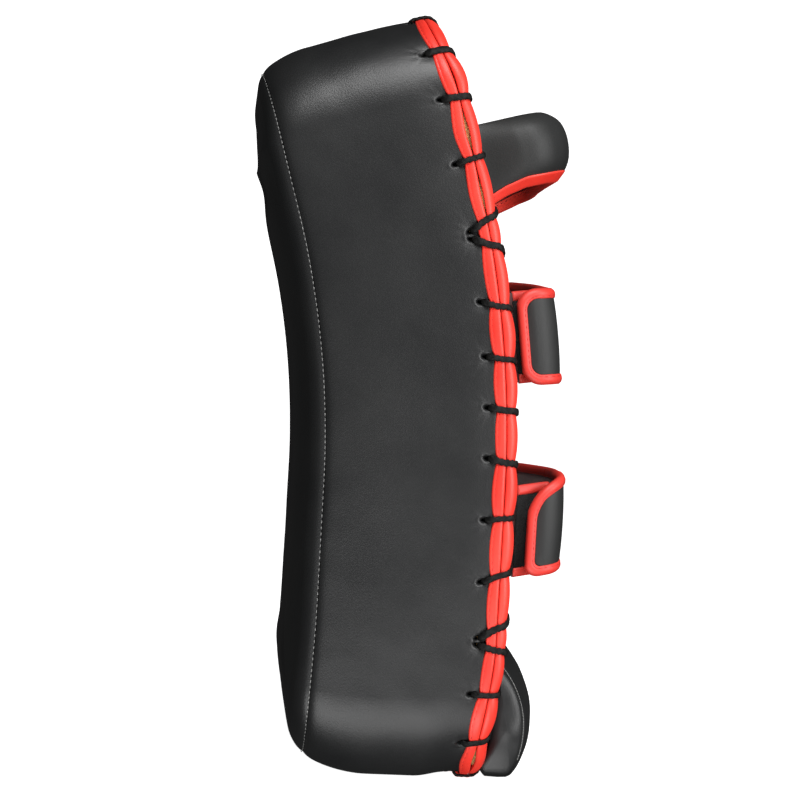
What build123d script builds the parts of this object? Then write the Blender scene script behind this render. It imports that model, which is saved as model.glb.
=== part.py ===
from build123d import *
import math
import os

# A curved thai kick pad, standing on its lower end. Millimetres, +Z up the pad, -X towards the strike
# face, +X towards the arm side, Y across the width. The origin is on the flat of the lower end.

# Driving dimensions of the padded body
WIDTH = 200.0
LOWER_LENGTH = 228.7       # lower end to the vertex of the bend, on the middle line
UPPER_LENGTH = 161.0       # vertex of the bend to the upper end
LEAN = 16.8                # degrees by which the upper half leans towards the strike side
BEND_RADIUS = 509.0        # radius of the bend on the middle line
CORNER_RADIUS = 45.0       # the four corners, seen from the front
SEAM_DEPTH = 45.5          # the strike seam lies this far in front of the middle line
JOINT_DEPTH = 47.5         # and the laced joint this far behind it
CROWN = 13.8               # the strike panel's swell in front of its seam
BACK_STEP = 4.5            # the arm-side face lies this far behind the laced joint
FRONT_ROUND = 12.0
BACK_ROUND = 4.5
HEEL_LIFT = 4.5            # the lower end is drawn in by this much along its laced edge
HEEL_START = 14.0          # where the drawing-in starts and ends, across the body
HEEL_END = 34.0
TOE_LIFT = 7.0             # and by this much along its strike seam
TOE_START = -24.0
TOE_END = -46.0
HEEL_TOP = 100.0           # height of the portion of the body that is drawn in

# Leather, binding and lace
SKIN = 1.5
BINDING = 1.2
BINDING_WIDTH = 5.7
BINDING_RETURN = 6.0       # reach of the back binding onto the arm-side face
LACE_RADIUS = 1.4
LACE_GAP = 0.25
HOLE_RADIUS = 1.9
HOLE_MARGIN = 2.4          # from a binding's edge to its lace holes
FOAM_CHAMFER = 22.0
STRIKE_FOAM_BACK = -22.0   # the layers of foam meet at these distances from the middle line
CORE_FOAM_BACK = 22.0

# Grip handle
HANDLE_AT = 309.5          # its middle, measured along the body's middle line
HANDLE_HALF_WIDTH = 21.0
HANDLE_FOOT = 64.0
HANDLE_SHOULDER = 58.0
HANDLE_GAP = 41.0          # finger room above the arm-side face
HANDLE_THICKNESS = 13.0
HANDLE_SKIN = 1.6
HANDLE_BEND = 20.0

# Forearm straps
STRAPS = (("upper", 225.5), ("lower", 136.5))
STRAP_HALF_WIDTH = 24.0
STRAP_GAP = 26.0           # arm room over the arm-side face, with the strap lying slack
STRAP_LINING = 1.4
STRAP_THICKNESS = 3.0
EDGE_TAPE = 0.8            # the narrow binding on the straps
EDGE_TAPE_WIDTH = 4.0
FAR_LEG = 81.0             # inner face of the flap's leg
LEG_START = 6.0
SPLIT_AT = -66.0           # the flap's free end bends from here
SPLIT_GAP = 0.4
TIP_TOP = -80.0            # inner face of the flap's free end, above and below
TIP_BOTTOM = -82.5
TIP_END = 7.0
TIP_CORNER = 9.0
FLAP_BEND = 14.0
TIP_BEND = 10.0
HOOK = 1.0                 # the hook patch's thickness and its upper edge
HOOK_TOP = 17.0
PILE = 1.2
CLOSURE_GAP = 0.4
TAB_THICKNESS = 1.8
TAB_START = 2.3
TAB_END = 18.0
TAB_HALF_WIDTH = 23.0
FLANGE = 1.8
FLANGE_LENGTH = 18.0

# Elbow bolster
BOLSTER_HALF_LENGTH = 76.0
BOLSTER_DEPTH = 24.0       # at the middle
BOLSTER_END_DEPTH = 17.0
BOLSTER_BOTTOM = 1.0
BOLSTER_TOP = 75.0
BOLSTER_SEAT = 24.0        # below this height it stands clear of the lace
BOLSTER_CLEARANCE = 5.6

BACK = JOINT_DEPTH + BACK_STEP
LEAN_RAD = math.radians(LEAN)
BEND_START = LOWER_LENGTH - BEND_RADIUS * math.tan(LEAN_RAD / 2)
BEND_LENGTH = BEND_RADIUS * LEAN_RAD
BODY_LENGTH = BEND_START + BEND_LENGTH + UPPER_LENGTH - BEND_RADIUS * math.tan(LEAN_RAD / 2)
FAR_AWAY = 300.0


def lean_at(along):
    """The body's lean, in radians, at a distance along its middle line."""
    return min(max((along - BEND_START) / BEND_RADIUS, 0.0), LEAN_RAD)


def place(along, out, across):
    """A point given along the body's middle line, out towards the arm side, and across the width."""
    lean = lean_at(along)
    reach = BEND_RADIUS + out
    x = reach * math.cos(lean) - BEND_RADIUS
    z = min(along, BEND_START) + reach * math.sin(lean)
    beyond = max(along - BEND_START - BEND_LENGTH, 0.0)
    return Vector(x - beyond * math.sin(lean), across, z + beyond * math.cos(lean))


def cross_plane(along):
    """A plane across the pad on its arm-side face: local x is the width, local y points off the face."""
    lean = lean_at(along)
    return Plane(place(along, BACK, 0), x_dir=(0, 1, 0), z_dir=(math.sin(lean), 0, -math.cos(lean)))


def across_strip(along, face, low, high):
    """A face drawn in the cross plane, made solid from low to high along the pad."""
    plane = cross_plane(along).offset(-high)
    return extrude(plane * face, amount=high - low)


def side_profile(front, back, low, inset=0.0):
    """The side outline between two lines that follow the middle line, from height low to the upper end."""
    turn = math.tan(LEAN_RAD / 2)
    length = UPPER_LENGTH - inset
    top = (-length * math.sin(LEAN_RAD), LOWER_LENGTH + length * math.cos(LEAN_RAD))
    ends = [(top[0] + d * math.cos(LEAN_RAD), top[1] + d * math.sin(LEAN_RAD)) for d in (front, back)]
    points = [(front, low), (front, LOWER_LENGTH + front * turn), ends[0],
              ends[1], (back, LOWER_LENGTH + back * turn), (back, low)]
    radii = [0, BEND_RADIUS + front, 0, 0, BEND_RADIUS + back, 0]
    return make_face(FilletPolyline(*points, radius=radii, close=True))


def slab(front, back):
    """All space between two lines that follow the middle line."""
    face = side_profile(front, back, -FAR_AWAY, -FAR_AWAY)
    return extrude(Plane.XZ * face, amount=FAR_AWAY, both=True)


def end_section(at, low, inset):
    """The body's lower portion cut across at x = at, rounded at its two lower corners."""
    half = WIDTH / 2 - inset
    radius = CORNER_RADIUS - inset
    points = [(-half, HEEL_TOP), (-half, low), (half, low), (half, HEEL_TOP)]
    outline = FilletPolyline(*points, radius=[0, radius, radius, 0], close=True)
    return Plane.YZ.offset(at) * make_face(outline)


def plain_body(inset, front, back):
    """The whole body with square front and back edges, all its other faces inset."""
    low = inset
    lifted = inset + HEEL_LIFT
    upper = extrude(Plane.XZ * side_profile(front, back, HEEL_TOP, inset), amount=WIDTH / 2 - inset, both=True)
    half_depth = (back + front) / 2
    top = place(BODY_LENGTH - inset, half_depth, 0)
    corners = [upper.edges().sort_by_distance(top + Vector(0, side * (WIDTH / 2 - inset), 0))[0]
               for side in (-1, 1)]
    upper = fillet(corners, CORNER_RADIUS - inset)
    raised = inset + TOE_LIFT
    toe = extrude(end_section(front, raised, inset), amount=TOE_END - front)
    toe_slope = loft([end_section(TOE_END, raised, inset), end_section(TOE_START, low, inset)], ruled=True)
    sole = extrude(end_section(TOE_START, low, inset), amount=HEEL_START - TOE_START)
    heel_slope = loft([end_section(HEEL_START, low, inset), end_section(HEEL_END, lifted, inset)], ruled=True)
    heel = extrude(end_section(HEEL_END, lifted, inset), amount=back - HEEL_END)
    return (upper + toe + toe_slope + sole + heel_slope + heel).clean()


def depth_of(point):
    """How far out from the middle line a point of the body lies."""
    if point.Z <= BEND_START:
        return point.X
    angle = math.atan2(point.Z - BEND_START, point.X + BEND_RADIUS)
    if angle < LEAN_RAD:
        return math.hypot(point.Z - BEND_START, point.X + BEND_RADIUS) - BEND_RADIUS
    turned = point - place(BEND_START + BEND_LENGTH, 0, 0)
    return turned.X * math.cos(LEAN_RAD) + turned.Z * math.sin(LEAN_RAD)


def rim_edges(body, out):
    """The edges all round the body's front or back face."""
    edges = [e for e in body.edges() if all(abs(depth_of(e @ t) - out) < 0.02 for t in (0.2, 0.5, 0.8))]
    low = min((e @ 0.5).Z for e in edges) + 1
    high = max((e @ 0.5).Z for e in edges) - 1
    return [e for e in edges if abs((e @ 0.5).Y) > 1 or not low < (e @ 0.5).Z < high]


def body(inset):
    """The padded body with its leather, or inset from it."""
    front = -SEAM_DEPTH - CROWN + inset
    back = BACK - inset
    solid = plain_body(inset, front, back)
    solid = fillet(rim_edges(solid, front), FRONT_ROUND - inset)
    return fillet(rim_edges(solid, back), BACK_ROUND - inset)


def offset_path(points, distance):
    """A polyline's points moved to its right by a distance, with mitred corners."""
    vectors = [Vector(*p) for p in points]
    runs = [(b - a).normalized() for a, b in zip(vectors, vectors[1:])]
    normals = [Vector(r.Y, -r.X) for r in runs]
    moved = [vectors[0] + normals[0] * distance]
    for point, before, after in zip(vectors[1:], normals, normals[1:]):
        moved.append(point + (before + after) * (distance / (1 + before.dot(after))))
    moved.append(vectors[-1] + normals[-1] * distance)
    return [(v.X, v.Y) for v in moved]


def band(points, radii, near, far):
    """The strip between two offsets of a path that turns left, as leather laid over an arch."""
    inner = offset_path(points, near)
    outer = offset_path(points, far)
    inner_radii = [r + near for r in radii]
    outer_radii = [r + far for r in radii]
    outline = inner + outer[::-1]
    corners = [0, *inner_radii, 0, 0, *outer_radii[::-1], 0]
    return make_face(FilletPolyline(*outline, radius=corners, close=True))


# Places round the laced rim: a rounded rectangle on the arm-side face
RIM_LOW = HEEL_LIFT
RIM_HALF = WIDTH / 2 - CORNER_RADIUS
RIM_ARC = CORNER_RADIUS * math.pi / 2
RIM_SIDE = BODY_LENGTH - RIM_LOW - 2 * CORNER_RADIUS
RIM_HALF_LENGTH = 2 * (RIM_HALF + RIM_ARC) + RIM_SIDE


def rim(distance):
    """Along, across and the outward direction, at a distance from the middle of the lower end."""
    far_side = distance < RIM_HALF_LENGTH
    d = distance if far_side else 2 * RIM_HALF_LENGTH - distance
    angle = min(max((d - RIM_HALF) / CORNER_RADIUS, 0.0), math.pi / 2)
    angle += min(max((d - RIM_HALF - RIM_ARC - RIM_SIDE) / CORNER_RADIUS, 0.0), math.pi / 2)
    climb = min(max(d - RIM_HALF - RIM_ARC, 0.0), RIM_SIDE)
    top_run = max(d - RIM_HALF - 2 * RIM_ARC - RIM_SIDE, 0.0)
    sideways = min(d, RIM_HALF) - top_run
    along = RIM_LOW + CORNER_RADIUS + climb - CORNER_RADIUS * math.cos(angle)
    across = sideways + CORNER_RADIUS * math.sin(angle)
    turn = 1 if far_side else -1
    return along, across * turn, -math.cos(angle), math.sin(angle) * turn


def rim_place(distance, side_depth, back_depth):
    """A point at the rim, so far inside its side wall and its arm-side face."""
    along, across, up, sideways = rim(distance)
    return place(along - side_depth * up, BACK - back_depth, across - side_depth * sideways)


def side_position(along):
    """The distance round the rim of a place on the far side wall."""
    return RIM_HALF + RIM_ARC + along - RIM_LOW - CORNER_RADIUS


# Lace stitches up one side and round the lower end: the gusset hole, and how much farther on its strand
# enters the back panel
SIDE_STITCHES = ((51.5, 0.5), (75.8, -5), (80.2, 11), (108.4, 8), (139.3, 2), (169, -3), (192.7, -3),
                 (216.5, -4), (242, -5.5), (271.3, -9), (275.9, 8), (307.8, 2), (341.2, -2.5))
LOWER_STITCHES = ((0.0, 0), (33.7, 0), (67.4, 0), (101.6, 3))
UPPER_SPACING = 34.0
HALF_STITCHES = (list(LOWER_STITCHES)
                 + [(side_position(a), shift) for a, shift in SIDE_STITCHES]
                 + [(RIM_HALF_LENGTH - i * UPPER_SPACING, 0) for i in (3, 2, 1)])
STITCHES = (HALF_STITCHES + [(RIM_HALF_LENGTH, 0)]
            + [(2 * RIM_HALF_LENGTH - d, -shift) for d, shift in HALF_STITCHES[:0:-1]])
GUSSET_HOLE_DEPTH = BACK_STEP + BINDING_WIDTH + HOLE_MARGIN
BACK_HOLE_DEPTH = BINDING_RETURN + HOLE_MARGIN
LACE_OVER = -(BINDING + LACE_RADIUS + LACE_GAP)
LACE_UNDER = SKIN + LACE_RADIUS + LACE_GAP


def lace_holes(which):
    """Punches for the lace, through the gusset or through the back panel."""
    punches = []
    for distance, shift in STITCHES:
        if which == "gusset":
            inside = rim_place(distance, SKIN + 2, GUSSET_HOLE_DEPTH)
            outside = rim_place(distance, -3, GUSSET_HOLE_DEPTH)
        else:
            inside = rim_place(distance + shift, BACK_HOLE_DEPTH, SKIN + 2)
            outside = rim_place(distance + shift, BACK_HOLE_DEPTH, -3)
        run = outside - inside
        punches.append(extrude(Plane(inside, z_dir=run) * Circle(HOLE_RADIUS), amount=run.length))
    return punches


def lace():
    """One lace whipped all the way round: out at the gusset, over both bindings, in at the back panel."""
    points = []
    radii = []
    for distance, shift in STITCHES:
        middle = distance + shift / 2
        points += [rim_place(distance, LACE_UNDER, GUSSET_HOLE_DEPTH),
                   rim_place(distance, LACE_OVER, GUSSET_HOLE_DEPTH),
                   rim_place(middle, LACE_OVER, LACE_OVER),
                   rim_place(distance + shift, BACK_HOLE_DEPTH, LACE_OVER),
                   rim_place(distance + shift, BACK_HOLE_DEPTH, LACE_UNDER)]
        radii += [2.2, 2.2, BACK_ROUND - LACE_OVER, 2.2, 2.2]
    route = FilletPolyline(*points, radius=radii[1:-1])
    start = route.edges()[0]
    section = Plane(start @ 0, z_dir=start % 0) * Circle(LACE_RADIUS)
    return sweep(section, path=route)


def handle_parts():
    """The padded grip handle: lining, foam, rolled cover, edge binding and sewn-down feet."""
    path = [(HANDLE_FOOT, -1), (HANDLE_SHOULDER, HANDLE_GAP), (-HANDLE_SHOULDER, HANDLE_GAP),
            (-HANDLE_FOOT, -1)]
    bends = [HANDLE_BEND, HANDLE_BEND]
    half = HANDLE_HALF_WIDTH
    wall = half - HANDLE_SKIN
    foam_top = HANDLE_THICKNESS - HANDLE_SKIN

    def layer(near, far, low, high):
        return across_strip(HANDLE_AT, band(path, bends, near, far), low, high)

    cover = (layer(foam_top, HANDLE_THICKNESS, -half, half) + layer(0, foam_top, wall, half)
             + layer(HANDLE_SKIN, foam_top, -half, -wall))
    edge = layer(-BINDING, 0, -half - BINDING, -half + BINDING_WIDTH) + layer(0, 4, -half - BINDING, -half)
    feet = []
    for side in (-1, 1):
        middle = side * (HANDLE_FOOT + HANDLE_THICKNESS + 5.0)
        plate = Pos(middle, (SKIN - 1) / 2) * Rectangle(8.0, SKIN + 1)
        feet.append(across_strip(HANDLE_AT, plate, -half, half))
    return {
        "handle_lining": layer(0, HANDLE_SKIN, -half, wall),
        "handle_foam": layer(HANDLE_SKIN, foam_top, -wall, wall),
        "handle_cover": cover,
        "handle_binding": edge,
        "handle_feet": feet,
    }


def rounded_tip(along, grow):
    """The outline of the flap's free end seen from the side, as a solid across the whole strap."""
    half = STRAP_HALF_WIDTH + grow
    low = TIP_END - grow
    high = STRAP_GAP + 30
    corner = TIP_CORNER + grow
    points = [(low, -half), (high, -half), (high, half), (low, half)]
    outline = make_face(FilletPolyline(*points, radius=[corner, 0, 0, corner], close=True))
    cross = cross_plane(along)
    beside = Plane(cross.origin, x_dir=cross.y_dir, z_dir=cross.x_dir)
    return extrude(beside * outline, amount=-FAR_AWAY)


def flap_parts(name, along):
    """A forearm strap's flap: a leg sewn on the far side, the arch over the arm, and the free end."""
    half = STRAP_HALF_WIDTH
    inner = half - EDGE_TAPE_WIDTH
    root = [(FAR_LEG, LEG_START), (FAR_LEG, STRAP_GAP), (SPLIT_AT + SPLIT_GAP / 2, STRAP_GAP)]
    tip = [(SPLIT_AT - SPLIT_GAP / 2, STRAP_GAP), (TIP_TOP, STRAP_GAP), (TIP_BOTTOM, TIP_END)]
    # The free end's plain strips run past its end, and are cut to its rounded outline
    slope = (TIP_BOTTOM - TIP_TOP) / (TIP_END - STRAP_GAP)
    long_tip = tip[:2] + [(TIP_BOTTOM - 6 * slope, TIP_END - 6)]
    rounded = rounded_tip(along, 0)

    def root_strip(near, far, low, high):
        return across_strip(along, band(root, [FLAP_BEND], near, far), low, high)

    def tip_strip(near, far, low, high):
        return across_strip(along, band(long_tip, [TIP_BEND], near, far), low, high)

    def taped(strip, whole):
        return strip(-EDGE_TAPE, STRAP_THICKNESS + EDGE_TAPE, -half - EDGE_TAPE, half + EDGE_TAPE) - whole

    root_whole = root_strip(0, STRAP_THICKNESS, -half, half)
    root_window = root_strip(-EDGE_TAPE, STRAP_THICKNESS + EDGE_TAPE, -inner, inner)
    tip_whole = tip_strip(0, STRAP_THICKNESS, -half, half) & rounded
    tip_window = (tip_strip(-EDGE_TAPE, STRAP_THICKNESS + EDGE_TAPE, -half, half)
                  & rounded_tip(along, -EDGE_TAPE_WIDTH))
    hook_path = offset_path(tip[1:], -HOOK)
    hook_face = make_face(Polyline(*tip[1:], *hook_path[::-1], close=True))
    hook_zone = (across_strip(along, Pos(TIP_BOTTOM, HOOK_TOP / 2) * Rectangle(30, HOOK_TOP), -inner, inner)
                 & rounded_tip(along, -EDGE_TAPE_WIDTH - 0.5))
    flange = Pos(FAR_LEG + STRAP_THICKNESS - FLANGE_LENGTH / 2, 0) * Rectangle(FLANGE_LENGTH, 2 * FLANGE)
    upstand = (Pos(FAR_LEG + STRAP_THICKNESS / 2, LEG_START / 2 - 0.2)
               * Rectangle(STRAP_THICKNESS, LEG_START - 0.4))
    return {
        name + "_flap_base": across_strip(along, flange + upstand, -half, half),
        name + "_flap_lining": root_strip(0, STRAP_LINING, -half, half),
        name + "_flap_cover": root_strip(STRAP_LINING, STRAP_THICKNESS, -half, half),
        name + "_flap_binding": taped(root_strip, root_whole) - root_window,
        name + "_tip_lining": tip_strip(0, STRAP_LINING, -half, half) & rounded,
        name + "_tip_cover": tip_strip(STRAP_LINING, STRAP_THICKNESS, -half, half) & rounded,
        name + "_tip_binding": (taped(tip_strip, tip_whole) & rounded_tip(along, EDGE_TAPE)) - tip_window,
        name + "_tip_hook": across_strip(along, hook_face, -inner, inner) & hook_zone,
    }


def tab_face(near, far, low, high):
    """The closure tab's section between two depths behind the flap's free end."""
    slope = (TIP_BOTTOM - TIP_TOP) / (TIP_END - STRAP_GAP)
    width = math.hypot(1, slope)
    points = [(TIP_BOTTOM + depth * width + slope * (height - TIP_END), height)
              for depth, height in ((near, low), (near, high), (far, high), (far, low))]
    return make_face(Polyline(*points, close=True))


TAB_OUTER = HOOK + CLOSURE_GAP + PILE
TAB_INNER = TAB_OUTER + TAB_THICKNESS


def tab_parts(name, along):
    """The short tab on the near side, faced with pile, that the flap closes on."""
    half = TAB_HALF_WIDTH
    inner = half - EDGE_TAPE_WIDTH
    leather = across_strip(along, tab_face(TAB_OUTER, TAB_INNER, TAB_START, TAB_END), -half, half)
    wide = across_strip(along, tab_face(TAB_OUTER - EDGE_TAPE, TAB_INNER + EDGE_TAPE,
                                        TAB_START + 1, TAB_END + EDGE_TAPE),
                        -half - EDGE_TAPE, half + EDGE_TAPE)
    window = across_strip(along, tab_face(0, TAB_INNER + 5, 0, TAB_END - EDGE_TAPE_WIDTH), -inner, inner)
    pile = across_strip(along, tab_face(TAB_OUTER - PILE, TAB_OUTER, TAB_START + 1, TAB_END - 4.2),
                        -inner + 0.2, inner - 0.2)
    flange_outer = TIP_BOTTOM + TAB_OUTER - 1
    flange = Pos(flange_outer + FLANGE_LENGTH / 2, 0) * Rectangle(FLANGE_LENGTH, 2 * FLANGE)
    return {
        name + "_tab_base": across_strip(along, flange, -half, half),
        name + "_tab": leather,
        name + "_tab_binding": wide - leather - window,
        name + "_tab_pile": pile,
    }


def bolster_block(inset):
    """The elbow bolster: a D section along the width, deeper at its middle than at its ends."""
    seat = BACK + inset
    low = BOLSTER_BOTTOM + inset
    high = BOLSTER_TOP - inset
    clear = BACK + BOLSTER_CLEARANCE + inset
    outer = BACK + BOLSTER_DEPTH - inset
    middle = (low + high) / 2
    front = ThreePointArc((clear + 5, low), (outer, middle), (seat + 1, high))
    back = Polyline((seat + 1, high), (seat, high - 1), (seat, BOLSTER_SEAT + inset),
                    (clear, BOLSTER_SEAT - 4 + inset), (clear, low + 3), (clear + 5, low))
    section = extrude(Plane.XZ * make_face(front + back), amount=BOLSTER_HALF_LENGTH, both=True)
    half = BOLSTER_HALF_LENGTH
    end = BACK + BOLSTER_END_DEPTH - inset
    plan = (ThreePointArc((end, -half), (outer, 0), (end, half))
            + Polyline((end, half), (seat, half), (seat, -half), (end, -half)))
    return section & extrude(make_face(plan), amount=FAR_AWAY)


def bolster_parts():
    """The bolster's crowned cover, its two D-shaped end caps and its foam."""
    outer = bolster_block(0)
    inner = bolster_block(SKIN)
    half = BOLSTER_HALF_LENGTH
    between = Box(FAR_AWAY, 2 * (half - SKIN), FAR_AWAY)
    parts = {"bolster_cover": (outer - inner) & between, "bolster_foam": inner & between}
    for side, name in ((-1, "bolster_end_near"), (1, "bolster_end_far")):
        cap = Pos(0, side * (half - SKIN / 2), 0) * Box(FAR_AWAY, SKIN, FAR_AWAY)
        parts[name] = outer & cap
    return parts


def body_parts():
    """Foam layers, the leather panels round them, and the two bindings of the laced joint."""
    outer = body(0)
    inner = body(SKIN)
    skin = outer - inner
    tape = body(-BINDING) - body(SKIN + BINDING)
    middle_face = plain_body(BINDING_RETURN, -SEAM_DEPTH, BACK + 20)
    butt_gap = 0.1
    gusset = skin & slab(-SEAM_DEPTH, JOINT_DEPTH - BINDING)
    back = skin & slab(JOINT_DEPTH + BINDING, FAR_AWAY / 2)
    foam = plain_body(SKIN, -SEAM_DEPTH - CROWN + SKIN, BACK - SKIN)
    foam = fillet(rim_edges(foam, -SEAM_DEPTH - CROWN + SKIN), FRONT_ROUND - SKIN)
    foam = chamfer(rim_edges(foam, BACK - SKIN), FOAM_CHAMFER)
    return {
        "front_panel": skin & slab(-FAR_AWAY / 2, -SEAM_DEPTH),
        "side_gusset": gusset - lace_holes("gusset"),
        "back_panel": back - lace_holes("back"),
        "gusset_binding": (tape & slab(JOINT_DEPTH - BINDING_WIDTH, JOINT_DEPTH - butt_gap)) - gusset,
        "back_binding": ((tape & slab(JOINT_DEPTH + butt_gap, FAR_AWAY / 2)) - middle_face) - back,
        "strike_foam": foam & slab(-FAR_AWAY / 2, STRIKE_FOAM_BACK),
        "core_foam": foam & slab(STRIKE_FOAM_BACK, CORE_FOAM_BACK),
        "arm_foam": foam & slab(CORE_FOAM_BACK, FAR_AWAY / 2),
    }, outer


def write(name, shape):
    """One STEP file for each named piece."""
    solids = [s for piece in (shape if isinstance(shape, (list, tuple)) else [shape]) for s in piece.solids()]
    whole = solids[0] if len(solids) == 1 else Compound(children=solids)
    whole.label = name
    export_step(whole, os.path.join("parts", name + ".step"))


def main():
    os.makedirs("parts", exist_ok=True)
    parts, outer = body_parts()
    parts["lace"] = lace()
    on_face = handle_parts()
    for name, along in STRAPS:
        on_face.update(flap_parts(name, along))
        on_face.update(tab_parts(name, along))
    for name, shape in on_face.items():
        pieces = shape if isinstance(shape, list) else [shape]
        parts[name] = [piece - outer for piece in pieces]
    parts.update(bolster_parts())
    for name, shape in parts.items():
        write(name, shape)


main()
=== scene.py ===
import math

import bmesh
import bpy
import numpy as np
from mathutils import Matrix, Vector, noise


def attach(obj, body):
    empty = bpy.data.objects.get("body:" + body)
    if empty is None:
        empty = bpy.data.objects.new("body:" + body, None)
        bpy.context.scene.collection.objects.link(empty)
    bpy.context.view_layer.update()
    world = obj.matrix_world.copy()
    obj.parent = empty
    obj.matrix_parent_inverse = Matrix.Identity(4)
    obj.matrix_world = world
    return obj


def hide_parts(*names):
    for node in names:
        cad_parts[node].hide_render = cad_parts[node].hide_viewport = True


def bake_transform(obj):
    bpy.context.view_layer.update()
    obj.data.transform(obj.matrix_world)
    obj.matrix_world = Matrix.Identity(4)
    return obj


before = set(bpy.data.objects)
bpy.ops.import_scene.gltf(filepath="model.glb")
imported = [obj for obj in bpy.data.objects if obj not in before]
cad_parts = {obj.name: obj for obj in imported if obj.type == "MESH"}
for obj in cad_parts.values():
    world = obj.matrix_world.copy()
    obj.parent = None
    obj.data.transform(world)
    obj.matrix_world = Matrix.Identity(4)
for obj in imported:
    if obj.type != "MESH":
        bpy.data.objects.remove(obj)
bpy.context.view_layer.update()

MM = 0.001

# ---------------------------------------------------------------- dimensions, mm, as in the CAD model
CORNER_RADIUS = 45.0
SEAM = 45.5                # the strike seam's distance in front of the middle line
JOINT = 47.5               # the laced joint's distance behind it
BACK = 52.0
LEAN = math.radians(16.8)
BEND_RADIUS = 509.0
LOWER_LENGTH = 228.7
UPPER_LENGTH = 161.0
HALF_WIDTH = 100.0
HEEL_LIFT = 4.5
HEEL_START = 14.0
HEEL_END = 34.0
BEND_START = LOWER_LENGTH - BEND_RADIUS * math.tan(LEAN / 2)
BEND_LENGTH = BEND_RADIUS * LEAN
BODY_LENGTH = BEND_START + BEND_LENGTH + UPPER_LENGTH - BEND_RADIUS * math.tan(LEAN / 2)

RIM_LOW = HEEL_LIFT
RIM_HALF = HALF_WIDTH - CORNER_RADIUS
RIM_ARC = CORNER_RADIUS * math.pi / 2
RIM_SIDE = BODY_LENGTH - RIM_LOW - 2 * CORNER_RADIUS
RIM_HALF_LENGTH = 2 * (RIM_HALF + RIM_ARC) + RIM_SIDE
RIM_LENGTH = 2 * RIM_HALF_LENGTH

GUSSET_HOLE = 39.4         # how far out from the middle line the gusset's lace holes are
BACK_HOLE = 8.4            # how far inside the rim the back panel's lace holes are
BACK_ROUND = 4.5

# Lace stitches up one side and round the lower end: the gusset hole, and how much farther on its strand
# enters the back panel
SIDE_STITCHES = ((51.5, 0.5), (75.8, -5), (80.2, 11), (108.4, 8), (139.3, 2), (169, -3), (192.7, -3),
                 (216.5, -4), (242, -5.5), (271.3, -9), (275.9, 8), (307.8, 2), (341.2, -2.5))
LOWER_STITCHES = ((0.0, 0), (33.7, 0), (67.4, 0), (101.6, 3))
UPPER_SPACING = 34.0


def side_position(along):
    """The distance round the rim of a place on the far side wall."""
    return RIM_HALF + RIM_ARC + along - RIM_LOW - CORNER_RADIUS


HALF_STITCHES = (list(LOWER_STITCHES)
                 + [(side_position(a), shift) for a, shift in SIDE_STITCHES]
                 + [(RIM_HALF_LENGTH - i * UPPER_SPACING, 0) for i in (3, 2, 1)])
STITCHES = (HALF_STITCHES + [(RIM_HALF_LENGTH, 0)]
            + [(RIM_LENGTH - d, -shift) for d, shift in HALF_STITCHES[:0:-1]])


# ---------------------------------------------------------------- places on the pad
def smooth(t):
    t = np.clip(t, 0.0, 1.0)
    return t * t * (3 - 2 * t)


def place(along, out, across):
    """Points, in metres, given in mm along the middle line, out towards the arm side, and across."""
    lean = np.clip((along - BEND_START) / BEND_RADIUS, 0.0, LEAN)
    reach = BEND_RADIUS + out
    beyond = np.maximum(along - BEND_START - BEND_LENGTH, 0.0)
    x = reach * np.cos(lean) - BEND_RADIUS - beyond * np.sin(lean)
    z = np.minimum(along, BEND_START) + reach * np.sin(lean) + beyond * np.cos(lean)
    return np.stack(np.broadcast_arrays(x, across, z), axis=-1) * MM


def rim(distance):
    """Along, across and the outward direction, at distances from the middle of the lower end."""
    wrapped = np.mod(distance, RIM_LENGTH)
    far = wrapped < RIM_HALF_LENGTH
    d = np.where(far, wrapped, RIM_LENGTH - wrapped)
    angle = np.clip((d - RIM_HALF) / CORNER_RADIUS, 0.0, math.pi / 2)
    angle = angle + np.clip((d - RIM_HALF - RIM_ARC - RIM_SIDE) / CORNER_RADIUS, 0.0, math.pi / 2)
    climb = np.clip(d - RIM_HALF - RIM_ARC, 0.0, RIM_SIDE)
    sideways = np.minimum(d, RIM_HALF) - np.maximum(d - RIM_HALF - 2 * RIM_ARC - RIM_SIDE, 0.0)
    along = RIM_LOW + CORNER_RADIUS + climb - CORNER_RADIUS * np.cos(angle)
    turn = np.where(far, 1.0, -1.0)
    return along, (sideways + CORNER_RADIUS * np.sin(angle)) * turn, -np.cos(angle), np.sin(angle) * turn


def round_rim(count):
    """That many even distances round the rim."""
    return np.linspace(0, RIM_LENGTH, count, endpoint=False)


def settle(along, out):
    """The along and out of a place once the soft body has settled.

    The lower end lifts at its heel and its toe, the upper end slopes, the laced corners are drawn in, and the
    strike side lies a little sunk.
    """
    back = smooth((out - HEEL_START) / (HEEL_END - HEEL_START))
    heel = HEEL_LIFT * (1 - back) + 2.0 * back
    toe = 8.5 * np.clip((-12.0 - out) / 33.5, 0.0, 1.6) ** 1.9
    lower = (toe - heel) * (1 - smooth(along / 75.0))
    front = 2.2 + 1.4 * smooth((8.0 - out) / 30.0) + 5.5 * np.clip((-20.0 - out) / 25.0, 0.0, 1.6) ** 1.6
    upper = front * smooth((along - BODY_LENGTH + 80.0) / 80.0)
    drawn = 6.0 * (1 - smooth((along - 15.0) / 62.0)) + 4.2 * smooth((along - BODY_LENGTH + 45.0) / 40.0)
    sunk = 2.0 * smooth(-out / 40.0) * smooth((along - 15.0) / 80.0)
    return along + lower - upper, out - drawn * smooth(out / JOINT) + sunk


def body_point(distance, out, inside):
    """Points at distances round the rim, out from the middle line, and so far inside the side wall."""
    along, across, up, sideways = rim(distance)
    along, out = settle(along, out)
    return place(along - inside * up, out, across - inside * sideways)


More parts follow.
